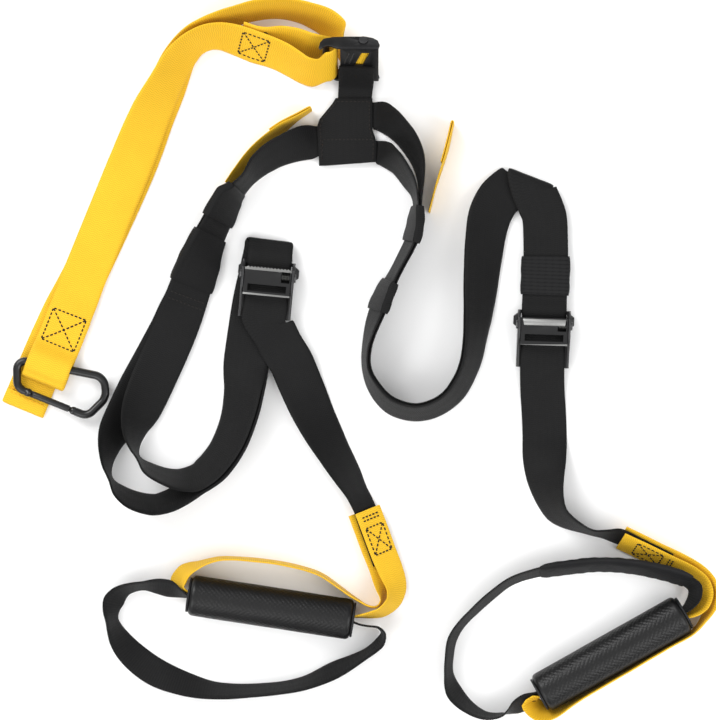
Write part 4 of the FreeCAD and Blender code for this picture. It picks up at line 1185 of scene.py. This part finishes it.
@dataclass
class AnchorEnd:
    """The yellow anchor strap and length tail with the carabiner and the main buckle."""

    loop_box: Pair = (29 * MM, 30 * MM)
    buckle_box: Pair = (24 * MM, 26 * MM)

    def build(self) -> None:
        """Build both tapes, their boxes of stitches and the hardware."""
        tail = wide_tape("length_tail", YELLOW_TAPE, 38, rests_on=("main_buckle_frame",))
        strap = wide_tape("anchor_strap", YELLOW_TAPE, 38, held=Held.FOLDED,
                          rests_on=("carabiner_body", "main_buckle_frame"))
        tail.build()
        strap.build()
        Stitching("anchor_loop_stitches", strap, spot(-257, 26.5),
                  box_and_cross(*self.loop_box), DARK_THREAD).build()
        for name, part in (("outer", (0.3, 0.8)), ("inner", (0.88, 1.0))):
            Stitching(f"buckle_loop_{name}_stitches", strap, spot(-91, 270),
                      box_and_cross(*self.buckle_box), DARK_THREAD, part=part).build()
        Stitching("tail_hem_stitches", tail, spot(-287, -33), bars((-4 * MM, 0.0), 32 * MM),
                  GOLD_THREAD).build()
        for node, kind, soften in (
                ("carabiner_body", HardPart.ALLOY, 0.3), ("carabiner_gate", HardPart.ALLOY, 0.3),
                ("carabiner_gate_pin", HardPart.PIN, 0.15),
                ("main_buckle_frame", HardPart.FRAME, 0.4),
                ("main_cam_lever", HardPart.FRAME, 0.2), ("main_cam_pin", HardPart.PIN, 0.4),
                ("main_cam_spring", HardPart.SPRING, 0.0)):
            Hardware(node, kind, soften * MM).dress()


@dataclass
class Yoke:
    """The yoke that joins both pairs of straps, and its neck to the main buckle."""

    def build(self) -> None:
        """Build the two panels, the neck and the seams."""
        YokePanel("yoke_back_panel", upper=False).build()
        front = YokePanel("yoke_front_panel", upper=True)
        front.build()
        front.stitch(2.6)
        WovenTape("yoke_neck", BLACK_TAPE, 29 * MM, 30 * MM, Held.STRETCHED).build()


@dataclass
class StrapPair:
    """One side's long strap and handle strap with its keepers, tab and cam buckle."""

    side: str
    handle_end: float
    buckle: CamBuckle
    upper_stitch: Pair

    def build(self) -> None:
        """Build both straps, their keepers and tab, and dress the buckle."""
        side = self.side
        long_strap = wide_tape(f"{side}_long_strap", BLACK_TAPE, 38, held=Held.FOLDED)
        handle_strap = wide_tape(f"{side}_handle_strap", BLACK_TAPE, self.handle_end,
                                 held=Held.FOLDED)
        long_strap.build()
        handle_strap.build()
        for place in ("upper", "lower"):
            SewnSleeve(f"{side}_{place}_keeper", long_strap, 38.7 * MM, 4.7 * MM, BLACK_TAPE,
                       partner=handle_strap).build()
        tab = narrow_tape(f"{side}_pull_tab", YELLOW_TAPE, 25, held=Held.FOLDED)
        tab.build()
        Stitching(f"{side}_strap_stitches", long_strap, spot(*self.upper_stitch),
                  bars((-3 * MM, 3 * MM), 33 * MM), DARK_THREAD).build()
        self.buckle.dress()
        if side == "right":
            SewnSleeve("right_buckle_sleeve", handle_strap, 38.7 * MM, 6.9 * MM,
                       RIBBED_TAPE).build()


@dataclass
class HandleEnd:
    """One handle: yellow webbing, foam grip and foot cradle."""

    side: str
    grip: FoamGrip
    cradle_start: Vector
    box_place: Vector
    webbing_end: float = 25

    def build(self) -> WovenTape:
        """Build the handle.

        Returns:
            The cradle's tape.
        """
        side = self.side
        webbing = narrow_tape(f"{side}_handle_webbing", YELLOW_TAPE, self.webbing_end,
                              held=Held.FOLDED)
        webbing.build()
        Stitching(f"{side}_webbing_stitches", webbing, self.box_place,
                  box_and_cross(24 * MM, 17 * MM) + bars((-21.5 * MM, -18.5 * MM), 17 * MM),
                  DARK_THREAD).build()
        cradle = narrow_tape(f"{side}_foot_cradle", CRADLE_TAPE, 15, closed_at=self.cradle_start)
        cradle.build()
        self.grip.build()
        Hardware(f"{side}_grip_tube", HardPart.PLASTIC, 0.0).dress()
        for end in ("inner", "outer"):
            Hardware(f"{side}_{end}_grip_ring", HardPart.PLASTIC, 0.4 * MM).dress()
        return cradle


# ------------------------------------------------------------------ studio

@dataclass(frozen=True)
class Studio:
    """The floor, the lights and the camera."""

    distance: float = 2.6
    view_width: float = 0.6108
    sensor: float = 36.0
    focus: Vector = field(default_factory=lambda: spot(-3.4, 0.0, 12.0))

    def floor(self) -> None:
        """A wide pale floor just under the trainer."""
        mesh = bpy.data.meshes.new("floor")
        mesh.from_pydata([(-4, -4, 0), (4, -4, 0), (4, 4, 0), (-4, 4, 0)], [], [(0, 1, 2, 3)])
        material, _, shader = new_material("pale_floor")
        set_sockets(shader, {"Base Color": opaque((0.93, 0.93, 0.93)), "Roughness": 0.9})
        mesh.materials.append(material)
        floor = new_object("floor", mesh)
        floor.location.z = -0.4 * MM

    def lights(self) -> None:
        """Three broad soft panels to the sides and a sky that is brighter overhead."""
        for name, place, size, watts in (
                ("key", Vector((-1.7, 1.9, 2.1)), 1.8, 74.0),
                ("fill", Vector((2.0, -1.2, 2.0)), 2.2, 54.0),
                ("low", Vector((-1.5, -1.9, 1.9)), 2.2, 44.0)):
            lamp = bpy.data.lights.new(name, "AREA")
            lamp.size = size
            lamp.energy = watts
            thing = new_object(name, lamp)
            thing.location = place
            thing.rotation_euler = (-place).to_track_quat("-Z", "Y").to_euler()
        world = bpy.data.worlds.new("studio")
        world.use_nodes = True
        nodes = Nodes(world.node_tree)
        split = nodes.add("ShaderNodeSeparateXYZ")
        nodes.join(nodes.add("ShaderNodeTexCoord").outputs["Generated"], split.inputs[0])
        height = nodes.math("POWER", nodes.math("MAXIMUM", split.outputs[2], 0.0), 3.0)
        sky = world.node_tree.nodes["Background"]
        sky.inputs[0].default_value = (1.0, 1.0, 1.0, 1.0)
        nodes.join(nodes.scaled(height, 0.8, 0.34), sky.inputs[1])
        bpy.context.scene.world = world

    def camera(self) -> None:
        """Look straight down on the layout."""
        lens = bpy.data.cameras.new("camera")
        lens.sensor_fit = "HORIZONTAL"
        lens.sensor_width = self.sensor
        lens.lens = self.sensor * self.distance / self.view_width
        lens.clip_end = 20.0
        eye = new_object("camera", lens)
        eye.location = self.focus + UP * self.distance
        bpy.context.scene.camera = eye

    def build(self) -> None:
        """Set the whole stage."""
        self.floor()
        self.lights()
        self.camera()
        bpy.context.scene.view_settings.view_transform = "Standard"
        bpy.context.scene.view_settings.look = "None"


def main() -> None:
    """Build every sub-assembly, then the studio."""
    logging.basicConfig(level=logging.INFO, format="%(name)s: %(message)s")
    AnchorEnd().build()
    Yoke().build()
    left_buckle = CamBuckle("left", spot(-81, 62.5), -5.5, (13 * MM, 0.0))
    StrapPair("left", 38, left_buckle, (-150, 52)).build()
    right_buckle = CamBuckle("right", spot(155, 20.5), -2.0, (8 * MM, 18.4 * MM))
    StrapPair("right", 22, right_buckle, (156, 108)).build()
    HandleEnd("left", FoamGrip("left", spot(-77.5, -210.5, 17.6), -8.7),
              spot(-77.5, -212.4, 17.6), spot(12.5, -154)).build()
    cradle = HandleEnd("right", FoamGrip("right", spot(212.5, -250, 17.6), 29.4),
                       spot(211.7, -248.8, 17.6), spot(246, -163)).build()
    CradlePad("right_cradle_pad", cradle).build()
    Studio().build()


if __name__ == "__main__":
    main()
